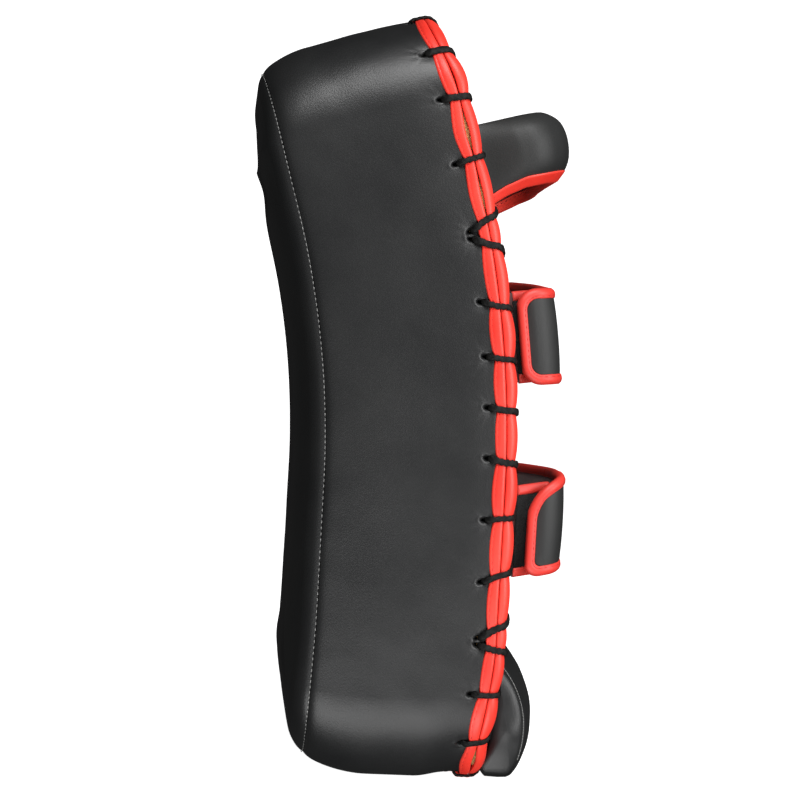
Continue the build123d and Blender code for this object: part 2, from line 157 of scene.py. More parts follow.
def spine_point(distance, out, share, inside):
    """Points between a rim inset and the middle of the face: share 0 is at the inset, 1 on the middle.

    At share 0 they lie where body_point puts them, so that the two make one smooth face.
    """
    along, across, up, sideways = rim(distance)
    start_along = along - inside * up
    start_across = across - inside * sideways
    end_along = np.clip(start_along, HALF_WIDTH, BODY_LENGTH - HALF_WIDTH)
    settled_at = along + share * (end_along - along)
    line, out = settle(settled_at, out)
    line = line - settled_at + start_along + share * (end_along - start_along)
    return place(line, out, start_across * (1 - share))


def waves(points, size, height, seed):
    """Smooth unevenness at each point, of about that size, in mm."""
    flat = points.reshape(-1, 3) / (size * MM)
    values = [noise.noise(Vector((p[0] + seed, p[1], p[2]))) for p in flat]
    return height * np.array(values).reshape(points.shape[:-1])


# ---------------------------------------------------------------- mesh tools
def unit(vectors):
    """Vectors, one to a row, each made one long."""
    return vectors / np.linalg.norm(vectors, axis=1, keepdims=True)


def distances(points):
    """How far each point of a line is along it."""
    return np.concatenate([[0.0], np.cumsum(np.linalg.norm(np.diff(points, axis=0), axis=1))])


def rows_of(section):
    """A list of number pairs or triples as rows, to spread over the rings of a tube."""
    return [np.array(v)[None, :] for v in zip(*section)]


def mesh_object(name, points, faces, uvs=None):
    mesh = bpy.data.meshes.new(name)
    mesh.from_pydata(points.reshape(-1, 3).tolist(), [], faces)
    mesh.polygons.foreach_set("use_smooth", [True] * len(mesh.polygons))
    if uvs is not None:
        layer = mesh.uv_layers.new(name="UVMap")
        layer.data.foreach_set("uv", np.asarray(uvs, np.float32).ravel())
    mesh.validate()
    mesh.update()
    obj = bpy.data.objects.new(name, mesh)
    bpy.context.scene.collection.objects.link(obj)
    return obj


def grid_faces(rows, columns, wrap_rows=False, wrap_columns=False, offset=0):
    r = np.arange(rows if wrap_rows else rows - 1)
    c = np.arange(columns if wrap_columns else columns - 1)
    r, c = [g.ravel() for g in np.meshgrid(r, c, indexing="ij")]
    r2, c2 = (r + 1) % rows, (c + 1) % columns
    quads = np.stack([r * columns + c, r * columns + c2, r2 * columns + c2, r2 * columns + c], axis=1)
    return (quads + offset).tolist()


def grid_object(name, points, wrap_rows=False, wrap_columns=False):
    rows, columns = points.shape[:2]
    return mesh_object(name, points, grid_faces(rows, columns, wrap_rows, wrap_columns))


def tube_object(name, tubes, turns=None):
    """Closed tubes joined in one mesh. Each is (rings, points round, 3); turns gives UV metres along."""
    points, faces, uvs, start = [], [], [], 0
    for rings in tubes:
        rows, columns = rings.shape[:2]
        faces += grid_faces(rows, columns, wrap_columns=True, offset=start)
        faces.append([start + c for c in range(columns)][::-1])
        faces.append([start + (rows - 1) * columns + c for c in range(columns)])
        if turns is not None:
            length = distances(rings.mean(axis=1)) / turns
            for r in range(rows - 1):
                for c in range(columns):
                    a, b = c / columns, (c + 1) / columns
                    uvs += [(a, length[r]), (b, length[r]), (b, length[r + 1]), (a, length[r + 1])]
            uvs += [(0.0, 0.0)] * (2 * columns)
        points.append(rings.reshape(-1, 3))
        start += rows * columns
    return mesh_object(name, np.concatenate(points), faces, uvs if turns is not None else None)


def beads(name, centres, directions, normals, length, width, height):
    """Short sewn stitches: small rounded grains, one for each centre."""
    centres, directions, normals = [np.asarray(a, float) for a in (centres, directions, normals)]
    directions = unit(directions)
    sides = unit(np.cross(normals, directions))
    lifts = np.cross(directions, sides)
    steps, around = 5, 6
    tubes = []
    for centre, d, s, n in zip(centres, directions, sides, lifts):
        rings = np.zeros((steps, around, 3))
        for i in range(steps):
            t = -0.92 + 1.84 * i / (steps - 1)
            fat = math.sqrt(1 - t * t)
            for j in range(around):
                angle = 2 * math.pi * j / around
                rings[i, j] = (centre + d * t * length / 2 + s * fat * math.cos(angle) * width / 2
                               + n * fat * math.sin(angle) * height / 2)
        tubes.append(rings)
    return tube_object(name, tubes)


def thicken(obj, thickness):
    """Makes a sheet of leather solid, inward from its visible face."""
    modifier = obj.modifiers.new("thickness", "SOLIDIFY")
    modifier.thickness = thickness * MM
    modifier.offset = -1
    return obj


def face_outward(obj, centre):
    """Turns a sheet's faces so that most of them point away from a centre."""
    mesh = obj.data
    votes = sum((p.center - Vector(centre)).dot(p.normal) for p in mesh.polygons)
    if votes < 0:
        mesh.flip_normals()
    return obj


# ---------------------------------------------------------------- materials
class Nodes:
    """A new material with one shader, and short calls for building its nodes."""

    def __init__(self, name):
        self.material = bpy.data.materials.new(name)
        self.material.use_nodes = True
        self.tree = self.material.node_tree
        self.tree.nodes.clear()
        output = self.tree.nodes.new("ShaderNodeOutputMaterial")
        self.shader = self.tree.nodes.new("ShaderNodeBsdfPrincipled")
        self.link(self.shader.outputs[0], output.inputs[0])

    def link(self, a, b):
        self.tree.links.new(a, b)

    def put(self, value, socket):
        """A number or a colour as a socket's own value, or a link into it."""
        if isinstance(value, bpy.types.NodeSocket):
            self.link(value, socket)
        elif isinstance(value, tuple):
            socket.default_value = (*value, 1.0)
        else:
            socket.default_value = value

    def finish(self, **inputs):
        """Sets the shader's inputs, named with _ for a space, and gives the material."""
        for name, value in inputs.items():
            self.put(value, self.shader.inputs[name.replace("_", " ")])
        return self.material

    def place(self):
        return self.tree.nodes.new("ShaderNodeTexCoord").outputs["Object"]

    def uv(self):
        return self.tree.nodes.new("ShaderNodeTexCoord").outputs["UV"]

    def scaled(self, vector, scale):
        node = self.tree.nodes.new("ShaderNodeMapping")
        node.inputs["Scale"].default_value = scale
        self.link(vector, node.inputs["Vector"])
        return node.outputs["Vector"]

    def noise(self, vector, scale, detail=4.0, rough=0.5):
        node = self.tree.nodes.new("ShaderNodeTexNoise")
        node.inputs["Scale"].default_value = scale
        node.inputs["Detail"].default_value = detail
        node.inputs["Roughness"].default_value = rough
        self.link(vector, node.inputs["Vector"])
        return node.outputs["Fac"]

    def cells(self, vector, scale, feature="F1"):
        node = self.tree.nodes.new("ShaderNodeTexVoronoi")
        node.feature = feature
        node.inputs["Scale"].default_value = scale
        node.inputs["Randomness"].default_value = 1.0
        self.link(vector, node.inputs["Vector"])
        return node.outputs["Distance"]

    def wave(self, vector, scale, direction):
        node = self.tree.nodes.new("ShaderNodeTexWave")
        node.wave_type = "BANDS"
        node.bands_direction = direction
        node.inputs["Scale"].default_value = scale
        node.inputs["Distortion"].default_value = 0.0
        self.link(vector, node.inputs["Vector"])
        return node.outputs["Fac"]

    def math(self, operation, a, b):
        node = self.tree.nodes.new("ShaderNodeMath")
        node.operation = operation
        for socket, value in zip(node.inputs, (a, b)):
            self.put(value, socket)
        return node.outputs[0]

    def ramp(self, value, stops):
        node = self.tree.nodes.new("ShaderNodeValToRGB")
        elements = node.color_ramp.elements
        while len(elements) < len(stops):
            elements.new(0.5)
        for element, (position, colour) in zip(elements, stops):
            element.position = position
            element.color = (*colour, 1.0)
        self.link(value, node.inputs["Fac"])
        return node.outputs["Color"]

    def span(self, value, low, high):
        node = self.tree.nodes.new("ShaderNodeMapRange")
        node.inputs["To Min"].default_value = low
        node.inputs["To Max"].default_value = high
        self.link(value, node.inputs["Value"])
        return node.outputs["Result"]

    def mix(self, share, a, b, blend="MIX"):
        node = self.tree.nodes.new("ShaderNodeMixRGB")
        node.blend_type = blend
        for socket, value in zip(node.inputs, (share, a, b)):
            self.put(value, socket)
        return node.outputs[0]

    def bump(self, height, distance, strength=1.0, under=None):
        node = self.tree.nodes.new("ShaderNodeBump")
        node.inputs["Distance"].default_value = distance * MM
        node.inputs["Strength"].default_value = strength
        self.link(height, node.inputs["Height"])
        if under is not None:
            self.link(under, node.inputs["Normal"])
        return node.outputs["Normal"]

    def pointiness(self):
        return self.tree.nodes.new("ShaderNodeNewGeometry").outputs["Pointiness"]


def leather(name, dark, light, ridge_highlight, roughness, grain_size, grain_depth):
    """Grained leather: two tones of colour, sharp ridges lightened as a painted highlight, fine grain and
    slow unevenness.
    """
    n = Nodes(name)
    at = n.place()
    tone = n.noise(at, 22.0, 5.0, 0.6)
    colour = n.ramp(tone, [(0.3, dark), (0.7, light)])
    # Painted highlight: convex ridges, found by pointiness, are blended towards the lighter ridge colour.
    ridge = n.ramp(n.pointiness(), [(0.5, (0.0, 0.0, 0.0)), (0.62, (1.0, 1.0, 1.0))])
    colour = n.mix(n.math("MULTIPLY", ridge, 0.35), colour, ridge_highlight)
    warped = n.mix(0.004, at, n.tree.nodes.new("ShaderNodeTexNoise").outputs["Color"], "ADD")
    grain = n.cells(warped, 1.0 / (grain_size * MM))
    creases = n.cells(warped, 0.55 / (grain_size * MM), "DISTANCE_TO_EDGE")
    pores = n.noise(at, 3.0 / (grain_size * MM), 2.0)
    height = n.math("ADD", n.math("MULTIPLY", grain, -0.7), n.math("MINIMUM", creases, 0.12))
    height = n.math("ADD", height, n.math("MULTIPLY", pores, 0.35))
    slow = n.bump(n.noise(at, 90.0, 3.0), 0.2, 0.2)
    uneven = n.math("ADD", n.math("MULTIPLY", tone, 0.6), n.math("MULTIPLY", grain, 0.4))
    return n.finish(Normal=n.bump(height, grain_depth, 0.55, slow), Base_Color=colour,
                    Roughness=n.span(uneven, roughness - 0.07, roughness + 0.09), Specular_IOR_Level=0.42)


def braid(name, dark, light):
    """Braided cord: crossing diagonal strands along the tube."""
    n = Nodes(name)
    uv = n.uv()
    left = n.wave(n.scaled(uv, (3.0, 1.0, 1.0)), 0.318, "DIAGONAL")
    right = n.wave(n.scaled(uv, (-3.0, 1.0, 1.0)), 0.318, "DIAGONAL")
    weave = n.math("MAXIMUM", left, right)
    fibre = n.noise(n.scaled(uv, (40.0, 6.0, 1.0)), 3.0, 3.0)
    height = n.math("ADD", weave, n.math("MULTIPLY", fibre, 0.4))
    # The colour follows the strand bumps, darker in the grooves between strands: painted shade.
    return n.finish(Normal=n.bump(height, 0.25, 0.9), Base_Color=n.ramp(weave, [(0.25, dark), (0.9, light)]),
                    Roughness=n.span(fibre, 0.5, 0.7), Specular_IOR_Level=0.16)


def woven(name, dark, light, pitch):
    """Plain woven lining."""
    n = Nodes(name)
    at = n.place()
    turns = 1.0 / (pitch * MM) / 6.28 * 3.14
    weave = n.math("MULTIPLY", n.wave(at, turns, "Z"), n.wave(at, turns, "Y"))
    # Painted shade: the colour follows the weave bump, darker where the threads dip; the noise blend towards
    # the dark tone is random tone.
    colour = n.mix(n.noise(at, 60.0, 4.0), n.ramp(weave, [(0.1, dark), (0.8, light)]), dark)
    return n.finish(Base_Color=colour, Normal=n.bump(weave, 0.2, 0.8), Roughness=0.72, Sheen_Weight=0.25)


def fuzzy(name, dark, light, size, depth):
    """Hook or pile tape: a dense nap of tiny tufts."""
    n = Nodes(name)
    at = n.place()
    tufts = n.cells(at, 1.0 / (size * MM))
    fibre = n.noise(at, 3.5 / (size * MM), 4.0, 0.7)
    height = n.math("ADD", n.math("MULTIPLY", tufts, -1.0), fibre)
    return n.finish(Base_Color=n.ramp(height, [(0.0, light), (0.6, dark)]), Normal=n.bump(height, depth, 1.0),
                    Roughness=0.85, Specular_IOR_Level=0.15)


def foam_material():
    """Pale foam with open pores."""
    n = Nodes("pale_foam")
    at = n.place()
    pores = n.cells(at, 900.0)
    colour = n.ramp(n.noise(at, 60.0, 5.0, 0.7), [(0.3, (0.34, 0.2, 0.06)), (0.7, (0.72, 0.5, 0.2))])
    colour = n.mix(n.math("MULTIPLY", pores, 0.8), colour, (0.16, 0.08, 0.03))
    return n.finish(Base_Color=colour, Normal=n.bump(pores, 0.6, 1.0), Roughness=0.9)


def thread(name, dark, light):
    """Twisted sewing thread."""
    n = Nodes(name)
    ply = n.noise(n.place(), 2500.0, 2.0)
    return n.finish(Base_Color=n.ramp(ply, [(0.3, dark), (0.7, light)]), Normal=n.bump(ply, 0.08, 0.7),
                    Roughness=0.55)


# The third colour of each leather is the painted highlight blended onto its sharp ridges.
BLACK = leather("black_leather", (0.0085, 0.0088, 0.0092), (0.0125, 0.0128, 0.013), (0.035, 0.035, 0.035),
                0.4, 0.8, 0.11)
STRAP_BLACK = leather("strap_leather", (0.0095, 0.01, 0.01), (0.015, 0.0155, 0.015), (0.04, 0.04, 0.04),
                      0.56, 0.7, 0.12)
RED = leather("red_binding", (0.66, 0.022, 0.013), (0.86, 0.042, 0.026), (0.95, 0.1, 0.07), 0.42, 0.5, 0.07)
# Painted shade: a darker copy of the red binding leather, used for the strap and tab edging.
SHADE_DARKENED_STRAP_RED = leather("shade_darkened_strap_red", (0.5, 0.02, 0.014), (0.64, 0.034, 0.024), (0.75, 0.08, 0.06),
                    0.45, 0.5, 0.07)
# Painted shade: the red lining is darkened to a deep maroon for the shadowed insides of the straps and
# handle; the tabs' leather shares it.
SHADE_DARKENED_LINING = woven("red_lining", (0.035, 0.002, 0.002), (0.1, 0.005, 0.004), 0.8)
LACE_BLACK = braid("black_lace", (0.002, 0.002, 0.002), (0.008, 0.008, 0.0075))
PILE = fuzzy("pile_tape", (0.003, 0.003, 0.003), (0.02, 0.02, 0.02), 0.55, 0.5)
HOOKS = fuzzy("hook_tape", (0.004, 0.004, 0.004), (0.03, 0.03, 0.03), 1.1, 0.7)
FOAM = foam_material()
GREY_THREAD = thread("grey_thread", (0.1, 0.1, 0.1), (0.3, 0.3, 0.29))
RED_THREAD = thread("red_thread", (0.32, 0.008, 0.006), (0.6, 0.02, 0.015))


def finish_piece(obj, material, nodes=(), body=None):
    """Gives a piece its material and slot, hides the CAD nodes it stands for, and parents it to the body it
    rides on.
    """
    obj.data.materials.clear()
    obj.data.materials.append(material)
    if body is not None:
        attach(obj, body)
    if nodes:
        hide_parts(*nodes)
    return obj


# ---------------------------------------------------------------- the laced rim
def nearest_gap(distance, centre):
    """Signed distance round the rim from a centre."""
    return np.mod(distance - centre + RIM_HALF_LENGTH, RIM_LENGTH) - RIM_HALF_LENGTH


# Shares of a strand's run where it crosses the middle of each binding
CROSS_GUSSET_BINDING = 0.3
CROSS_BACK_BINDING = 0.62


def swell(distance, cross):
    """0 where a strand ties the binding down, up to 1 midway between two strands."""
    ties = np.sort(np.mod([d + shift * cross for d, shift in STITCHES], RIM_LENGTH))
    ties = np.concatenate([[ties[-1] - RIM_LENGTH], ties, [ties[0] + RIM_LENGTH]])
    wrapped = np.mod(distance, RIM_LENGTH)
    index = np.searchsorted(ties, wrapped, side="right") - 1
    low, high = ties[index], ties[index + 1]
    share = (wrapped - low) / (high - low)
    reach = np.clip((high - low) / 26.0, 0.2, 1.0) * (0.75 + 0.5 * np.mod(index * 0.618, 1.0))
    return np.sin(math.pi * share) ** 0.7 * reach


def binding_width(puff):
    """The gusset binding's width, in mm: narrow where it is tied, wider where it puffs up."""
    return 4.5 + 1.9 * puff


def gap_width(distance):
    """How far the two bindings stand apart, in mm: closed at most places, open at a few."""
    open_places = ((-side_position(322), 1.7, 9.0), (-side_position(291), 1.1, 9.0),
                   (-side_position(350), 0.5, 8.0), (-87.0, 1.6, 8.0), (side_position(258), 1.0, 8.0),
                   (side_position(126), 0.8, 8.0), (RIM_HALF_LENGTH + 13, 0.9, 8.0),
                   (RIM_HALF_LENGTH - 40, 1.1, 8.0))
    width = 0.12 + 0.15 * swell(distance, CROSS_GUSSET_BINDING)
    for centre, opening, reach in open_places:
        width = width + opening * np.exp(-(nearest_gap(distance, centre) / reach) ** 2)
    return width


def hole_dents(distance, across_run, centre_run, lean_share):
    """Depth of the dimples and slits at the lace holes, with small wrinkles round them."""
    dent = np.zeros(np.broadcast(distance, across_run).shape)
    for index, (place_round, shift) in enumerate(STITCHES):
        if lean_share:
            place_round = place_round + shift
        along_run = nearest_gap(distance, place_round)
        out_run = across_run - centre_run
        close = (np.abs(along_run) < 26) & (np.abs(out_run) < 26)
        if not close.any():
            continue
        slant = 0.0 if lean_share else shift * 0.04
        turned_a = along_run * math.cos(slant) - out_run * math.sin(slant)
        turned_b = along_run * math.sin(slant) + out_run * math.cos(slant)
        radius = np.hypot(along_run, out_run)
        dent += 0.7 * np.exp(-(radius / 3.6) ** 2) + 0.3 * np.exp(-(radius / 9.0) ** 2)
        pit = np.hypot(turned_a / 1.15, (turned_b + 1.0) / 2.5)
        dent += 3.6 * smooth(1.35 - pit)
        lip = np.exp(-((pit - 1.6) / 0.35) ** 2)
        dent -= 0.25 * lip
        if index % 3 != 1:
            angle = np.arctan2(along_run, -out_run)
            fade = np.exp(-((radius - 7.0) / 3.6) ** 2) * np.clip(np.cos(angle), 0, 1)
            dent += 0.06 * fade * np.cos(angle * (9 + index % 4) + index)
    return dent


def build_gusset():
    """The side gusset: a band round the body, drawn in at the strike seam and at each lace hole."""
    distance = round_rim(1370)[None, :]
    rows = np.concatenate([np.linspace(-SEAM, -39, 9), np.linspace(-37, 22, 24), np.linspace(23.5, 32, 8),
                           np.linspace(32.8, 44, 18), np.linspace(45, 46, 2)])
    out = rows[:, None]
    _, _, up, sideways = rim(distance)
    at = body_point(distance, out, 0.0)
    wall = np.abs(sideways)
    top = np.clip(up, 0, 1)
    inside = 2.4 * np.exp(-(out + SEAM) / 2.4)
    inside = inside - (1 - (out / 46.0) ** 4) * (1.5 * wall + 0.6 * top)
    inside = inside + hole_dents(distance, out, GUSSET_HOLE, False)
    inside = inside + 0.9 * smooth((out - 41.5) / 2.5)
    uneven = waves(at, 34, 0.55, 3.0) + waves(at, 12, 0.12, 9.0)
    inside = inside + uneven * (1 - np.clip(-up, 0, 1)) + 0.25 * np.clip(-up, 0, 1)
    points = body_point(distance, out, inside)
    obj = grid_object("gusset_skin", points, wrap_columns=True)
    thicken(face_outward(obj, (-0.03, 0, 0.2)), 1.3)
    return finish_piece(obj, BLACK, ["side_gusset"], "pad")


def build_front():
    """The strike panel: rounded over from its seam, with a low crown that levels off at the middle."""
    distance = round_rim(680)[None, :]
    along, across, up, sideways = rim(distance)
    reach = 14.0 + 17.0 * np.clip(up, 0, 1)
    crown = 13.6
    edge_inset = 30.0

    def slack(line):
        """The panel lies a little flatter below its rounded top."""
        return 3.0 * np.exp(-((line - BODY_LENGTH + 61.0) / 16.0) ** 2)

    inset = np.concatenate([[0.0, 0.5, 1.0, 1.7, 2.6, 3.8], np.linspace(5.2, edge_inset, 16)])[:, None]
    tuck = 2.4 * np.exp(-inset / 1.8)
    rise = crown * (1 - np.exp(-inset / reach)) + 1.3 * np.exp(-((inset - 7.0) / 6.0) ** 2)
    rise = rise - slack(along - inset * up) * smooth(inset / edge_inset)
    rows = [body_point(distance, -SEAM - rise + 0.4 * tuck, inset + tuck)]
    share = np.linspace(0, 1, 26)[1:, None]
    start = along - edge_inset * up
    middle = np.clip(start, HALF_WIDTH, BODY_LENGTH - HALF_WIDTH)
    span = (start - middle) * up + (across - edge_inset * sideways) * sideways
    rise = crown * (1 - np.exp(-edge_inset / reach) * (1 - share) ** (span / reach))
    rise = rise - slack(start + share * (middle - start))
    rows.append(spine_point(distance, -SEAM - rise, share, edge_inset))
    points = np.concatenate(rows)
    lumps = waves(points, 60, 0.35, 21.0) + waves(points, 18, 0.12, 2.0)
    fade = np.concatenate([smooth(inset / 14.0), np.ones_like(share)])
    points[..., 0] += lumps * fade * MM
    obj = grid_object("strike_skin", points, wrap_columns=True)
    merge(obj)
    thicken(face_outward(obj, (0, 0, 0.2)), 1.3)
    return finish_piece(obj, BLACK, ["front_panel"], "pad")


def merge(obj, distance=0.00002):
    """Joins points that lie together, as at the middle of a panel."""
    bm = bmesh.new()
    bm.from_mesh(obj.data)
    bmesh.ops.remove_doubles(bm, verts=bm.verts, dist=distance)
    bm.to_mesh(obj.data)
    bm.free()
    obj.data.update()


def build_back():
    """The arm-side panel, dimpled at its lace holes."""
    distance = round_rim(1100)[None, :]
    inset = np.concatenate([np.linspace(4.0, 18.0, 20), np.linspace(20, 30, 6)])[:, None]
    tied = 1 - 0.6 * swell(distance, CROSS_BACK_BINDING)
    sink = 1.7 * tied * (1 - smooth((inset - 4) / 5.0)) + hole_dents(distance, -inset, -BACK_HOLE, True)
    rows = [body_point(distance, BACK - 0.1 - sink, inset)]
    share = np.linspace(0, 1, 26)[1:, None]
    rows.append(spine_point(distance, BACK - 0.1, share, 30.0))
    points = np.concatenate(rows)
    points[..., 0] += waves(points, 30, 0.3, 5.0) * MM - 0.2 * MM
    obj = grid_object("back_skin", points, wrap_columns=True)
    merge(obj)
    thicken(face_outward(obj, (0, 0, 0.2)), 1.3)
    return finish_piece(obj, BLACK, ["back_panel"], "pad")


def build_bindings():
    """The two folded bindings that meet edge to edge, drawn in under each strand of the lace."""
    distance = round_rim(1100)[:, None]
    puff = swell(distance, CROSS_GUSSET_BINDING)
    half_gap = gap_width(distance) / 2
    width = binding_width(puff)
    butt = JOINT - half_gap
    # (share across the binding, height above the wall tied down, extra height between strands)
    section = [(0.0, -0.9, 0.0), (0.0, 0.15, 0.0), (0.03, 0.5, 0.2), (0.09, 0.75, 0.4), (0.22, 0.8, 0.6),
               (0.265, 0.72, 0.55), (0.31, 0.8, 0.65), (0.5, 0.85, 0.85), (0.7, 0.8, 0.95), (0.86, 0.7, 0.9),
               (0.96, 0.45, 0.7), (1.0, -0.1, 0.3), (1.0, -1.6, -0.4), (0.9, -2.6, -0.6), (0.4, -2.2, 0.0)]
    shares, low, extra = rows_of(section)
    out = butt - width * (1 - shares)
    height = low + extra * puff
    points = body_point(distance, out, -height)
    obj = grid_object("gusset_binding_fold", points, wrap_rows=True, wrap_columns=True)
    face_outward_tube(obj, points)
    finish_piece(obj, RED, ["gusset_binding"], "pad")

    puff = swell(distance, CROSS_BACK_BINDING)
    start = JOINT + half_gap
    # (angle round the rounded rear corner, height tied down, extra height between strands)
    section = [(-3, -2.6, -0.6), (-3, -1.4, -0.3), (-2, -0.2, 0.1), (3, 0.3, 0.4), (12, 0.6, 0.7),
               (26, 0.7, 1.1), (42, 0.6, 1.4), (58, 0.5, 1.7), (72, 0.35, 1.9), (82, 0.25, 1.9),
               (92, 0.25, 1.8), (97, 0.1, 1.6), (102, 0.2, 1.6), (114, 0.15, 1.2), (124, 0.0, 0.7),
               (128, -0.3, 0.3), (129, -1.2, 0.0), (90, -2.6, 0.0), (30, -2.4, 0.0)]
    angle, low, extra = rows_of(section)
    angle = np.radians(angle)
    radius = BACK_ROUND + low + extra * puff
    flat = np.maximum(angle - math.pi / 2, 0.0) * 8.5
    angle = np.minimum(angle, math.pi / 2)
    first = np.clip(1 - angle / 0.25, 0, 1)
    out = BACK - BACK_ROUND + radius * np.sin(angle)
    out = out + first * (start + 0.1 - out)
    inside = BACK_ROUND - radius * np.cos(angle) + flat
    points = body_point(distance, out, inside)
    obj = grid_object("back_binding_fold", points, wrap_rows=True, wrap_columns=True)
    face_outward_tube(obj, points)
    return finish_piece(obj, RED, ["back_binding"], "pad")


def face_outward_tube(obj, points):
    """Turns the faces of a ring with a closed section so that they point out of the ring's own body."""
    centres = points.mean(axis=1, keepdims=True)
    columns = points.shape[1]
    votes = 0.0
    for index in range(0, len(obj.data.polygons), 97):
        polygon = obj.data.polygons[index]
        row = polygon.vertices[0] // columns
        votes += (polygon.center - Vector(centres[row % len(centres), 0])).dot(polygon.normal)
    if votes < 0:
        obj.data.flip_normals()


def binding_stitches():
    """Sewn lines: on the gusset binding, on the back binding, and in the strike seam."""
    distance = round_rim(int(RIM_LENGTH / 3.4))
    ahead = body_point(distance + 1.0, 40.0, 0.0) - body_point(distance - 1.0, 40.0, 0.0)
    puff = swell(distance, CROSS_GUSSET_BINDING)
    width = binding_width(puff)
    out = JOINT - gap_width(distance) / 2 - width * 0.735
    low = body_point(distance, out, -(0.8 + 0.56 * puff))
    normal = body_point(distance, out, -3.0) - body_point(distance, out, 0.0)
    obj = beads("gusset_binding_stitches", low, ahead, normal, 2.0 * MM, 0.36 * MM, 0.34 * MM)
    finish_piece(obj, RED_THREAD, (), "pad")

    puff = swell(distance, CROSS_BACK_BINDING)
    radius = BACK_ROUND + 0.2 + 1.6 * puff
    at = body_point(distance, BACK - BACK_ROUND + radius, BACK_ROUND + 1.1)
    core = body_point(distance, BACK - BACK_ROUND, BACK_ROUND + 1.1)
    obj = beads("back_binding_stitches", at, ahead, at - core, 2.2 * MM, 0.45 * MM, 0.4 * MM)
    finish_piece(obj, RED_THREAD, (), "pad")

    distance = round_rim(int(RIM_LENGTH / 3.0))
    at = body_point(distance, -SEAM - 0.2, 1.7)
    ahead = body_point(distance + 1.0, -SEAM, 1.7) - body_point(distance - 1.0, -SEAM, 1.7)
    normal = body_point(distance, -SEAM - 1.0, 0.0) - body_point(distance, -40.0, 3.0)
    obj = beads("strike_seam_stitches", at, ahead, normal, 1.7 * MM, 0.45 * MM, 0.45 * MM)
    return finish_piece(obj, GREY_THREAD, (), "pad")


def curve_through(points, steps):
    """A smooth line through points (Catmull-Rom), with that many steps between two of them."""
    p = np.concatenate([points[:1] * 2 - points[1:2], points, points[-1:] * 2 - points[-2:-1]])
    t = np.linspace(0, 1, steps, endpoint=False)[:, None]
    parts = []
    for a, b, c, d in zip(p, p[1:], p[2:], p[3:]):
        parts.append(0.5 * (2 * b + (c - a) * t + (2 * a - 5 * b + 4 * c - d) * t ** 2
                            + (3 * b - a - 3 * c + d) * t ** 3))
    return np.concatenate(parts + [points[-1:]])


def ribbon_rings(path, wide, width, thickness, around=14, twist=0.0):
    """Rings of a slightly flat braided cord along a path; wide gives its broad direction."""
    tangent = unit(np.gradient(path, axis=0))
    side = unit(wide - (wide * tangent).sum(axis=1, keepdims=True) * tangent)
    lift = np.cross(tangent, side)
    run = distances(path) / MM
    rings = np.zeros((len(path), around, 3))
    for j in range(around):
        angle = 2 * math.pi * j / around
        turn = run * 2.2
        plait = 1 + 0.07 * np.cos(2 * angle + turn + twist) + 0.07 * np.cos(2 * angle - turn + twist)
        rings[:, j] = (path + side * (math.cos(angle) * width / 2 * plait)[:, None]
                       + lift * (math.sin(angle) * thickness / 2 * plait)[:, None])
    return rings


def build_lace():
    """The lace: out at each gusset hole, over both bindings, in at the back panel, on inside to the next."""
    over = 1.6
    corner = BACK_ROUND + over
    tubes = []
    exits = []
    for index, (start, shift) in enumerate(STITCHES):
        # (inside the rim, out from the middle line, share of the strand's run)
        route = [(5.0, GUSSET_HOLE - 0.2, 0.0), (1.2, GUSSET_HOLE - 0.3, 0.0),
                 (-0.7, GUSSET_HOLE + 0.5, 0.03), (-1.6, GUSSET_HOLE + 2.4, 0.12),
                 (-over, JOINT - 3.0, 0.3), (-over, JOINT, 0.45)]
        route += [(BACK_ROUND - corner * math.cos(a), BACK - BACK_ROUND + corner * math.sin(a), share)
                  for a, share in ((0.5, 0.53), (1.05, 0.67), (1.5, 0.8))]
        route += [(7.0, BACK + 1.5, 0.95), (BACK_HOLE, BACK + 0.2, 1.0), (BACK_HOLE + 0.1, BACK - 5.0, 1.0)]
        inside, out, share = [np.array(v) for v in zip(*route)]
        wander = 0.35 * math.sin(index * 2.3)
        points = body_point(start + shift * share + wander * np.sin(share * math.pi), out, inside)
        path = curve_through(points, 7)
        after, before = [body_point(np.array([start + step]), 44.0, 0.0) for step in (2.0, -2.0)]
        wide = np.repeat(after - before, len(path), axis=0)
        height = abs(float(nearest_gap(start, 0.0))) / RIM_HALF_LENGTH
        width = (3.2 + 1.3 * max(0.0, (height - 0.68) / 0.32) + 0.35 * math.sin(index * 1.7)) * MM
        tubes.append(ribbon_rings(path, wide, width, 1.55 * MM, twist=index))
        exits.append((points[0], points[-1]))
    for (_, leaving), (entering, _) in zip(exits, exits[1:]):
        middle = (leaving + entering) / 2
        path = curve_through(np.array([leaving, middle, entering]), 6)
        wide = np.repeat([[0.3, 0.4, 0.6]], len(path), axis=0)
        tubes.append(ribbon_rings(path, wide, 2.2 * MM, 2.2 * MM, around=8))
    obj = tube_object("lace_whipping", tubes, turns=0.0036)
    return finish_piece(obj, LACE_BLACK, ["lace"], "pad")


def build_foam():
    """The three layers of foam, seen only where the bindings stand apart."""
    distance = round_rim(240)[None, :]
    layers = (("strike_foam", -48.5, -22.2), ("core_foam", -22.0, 22.0), ("arm_foam", 22.2, 50.0))
    squeezed = 3.4 - 2.5 * smooth((gap_width(distance) - 0.4) / 1.0)
    for node, front, back in layers:
        middle = np.array([[1.0], [0.5]])
        first = spine_point(distance, front - 1.0, middle, 14.0)
        places = [(front, 14.0), (front + 1.5, 8.0), (front + 5, 4.6), ((front + back) / 2, 4.0)]
        if node == "arm_foam":
            places += [(back - 6, 4.0), (back - 3.6, squeezed), (back - 1.4, squeezed), (back, 5.5)]
        else:
            places += [(back - 3, 3.0), (back, 3.0)]
        rows = [body_point(distance, out, inside) for out, inside in places]
        last = spine_point(distance, back, middle[::-1], 5.5)
        points = np.concatenate([first, *rows, last])
        obj = grid_object(node + "_layer", points, wrap_columns=True)
        merge(obj)
        orient(obj)
        finish_piece(obj, FOAM, [node], "pad")


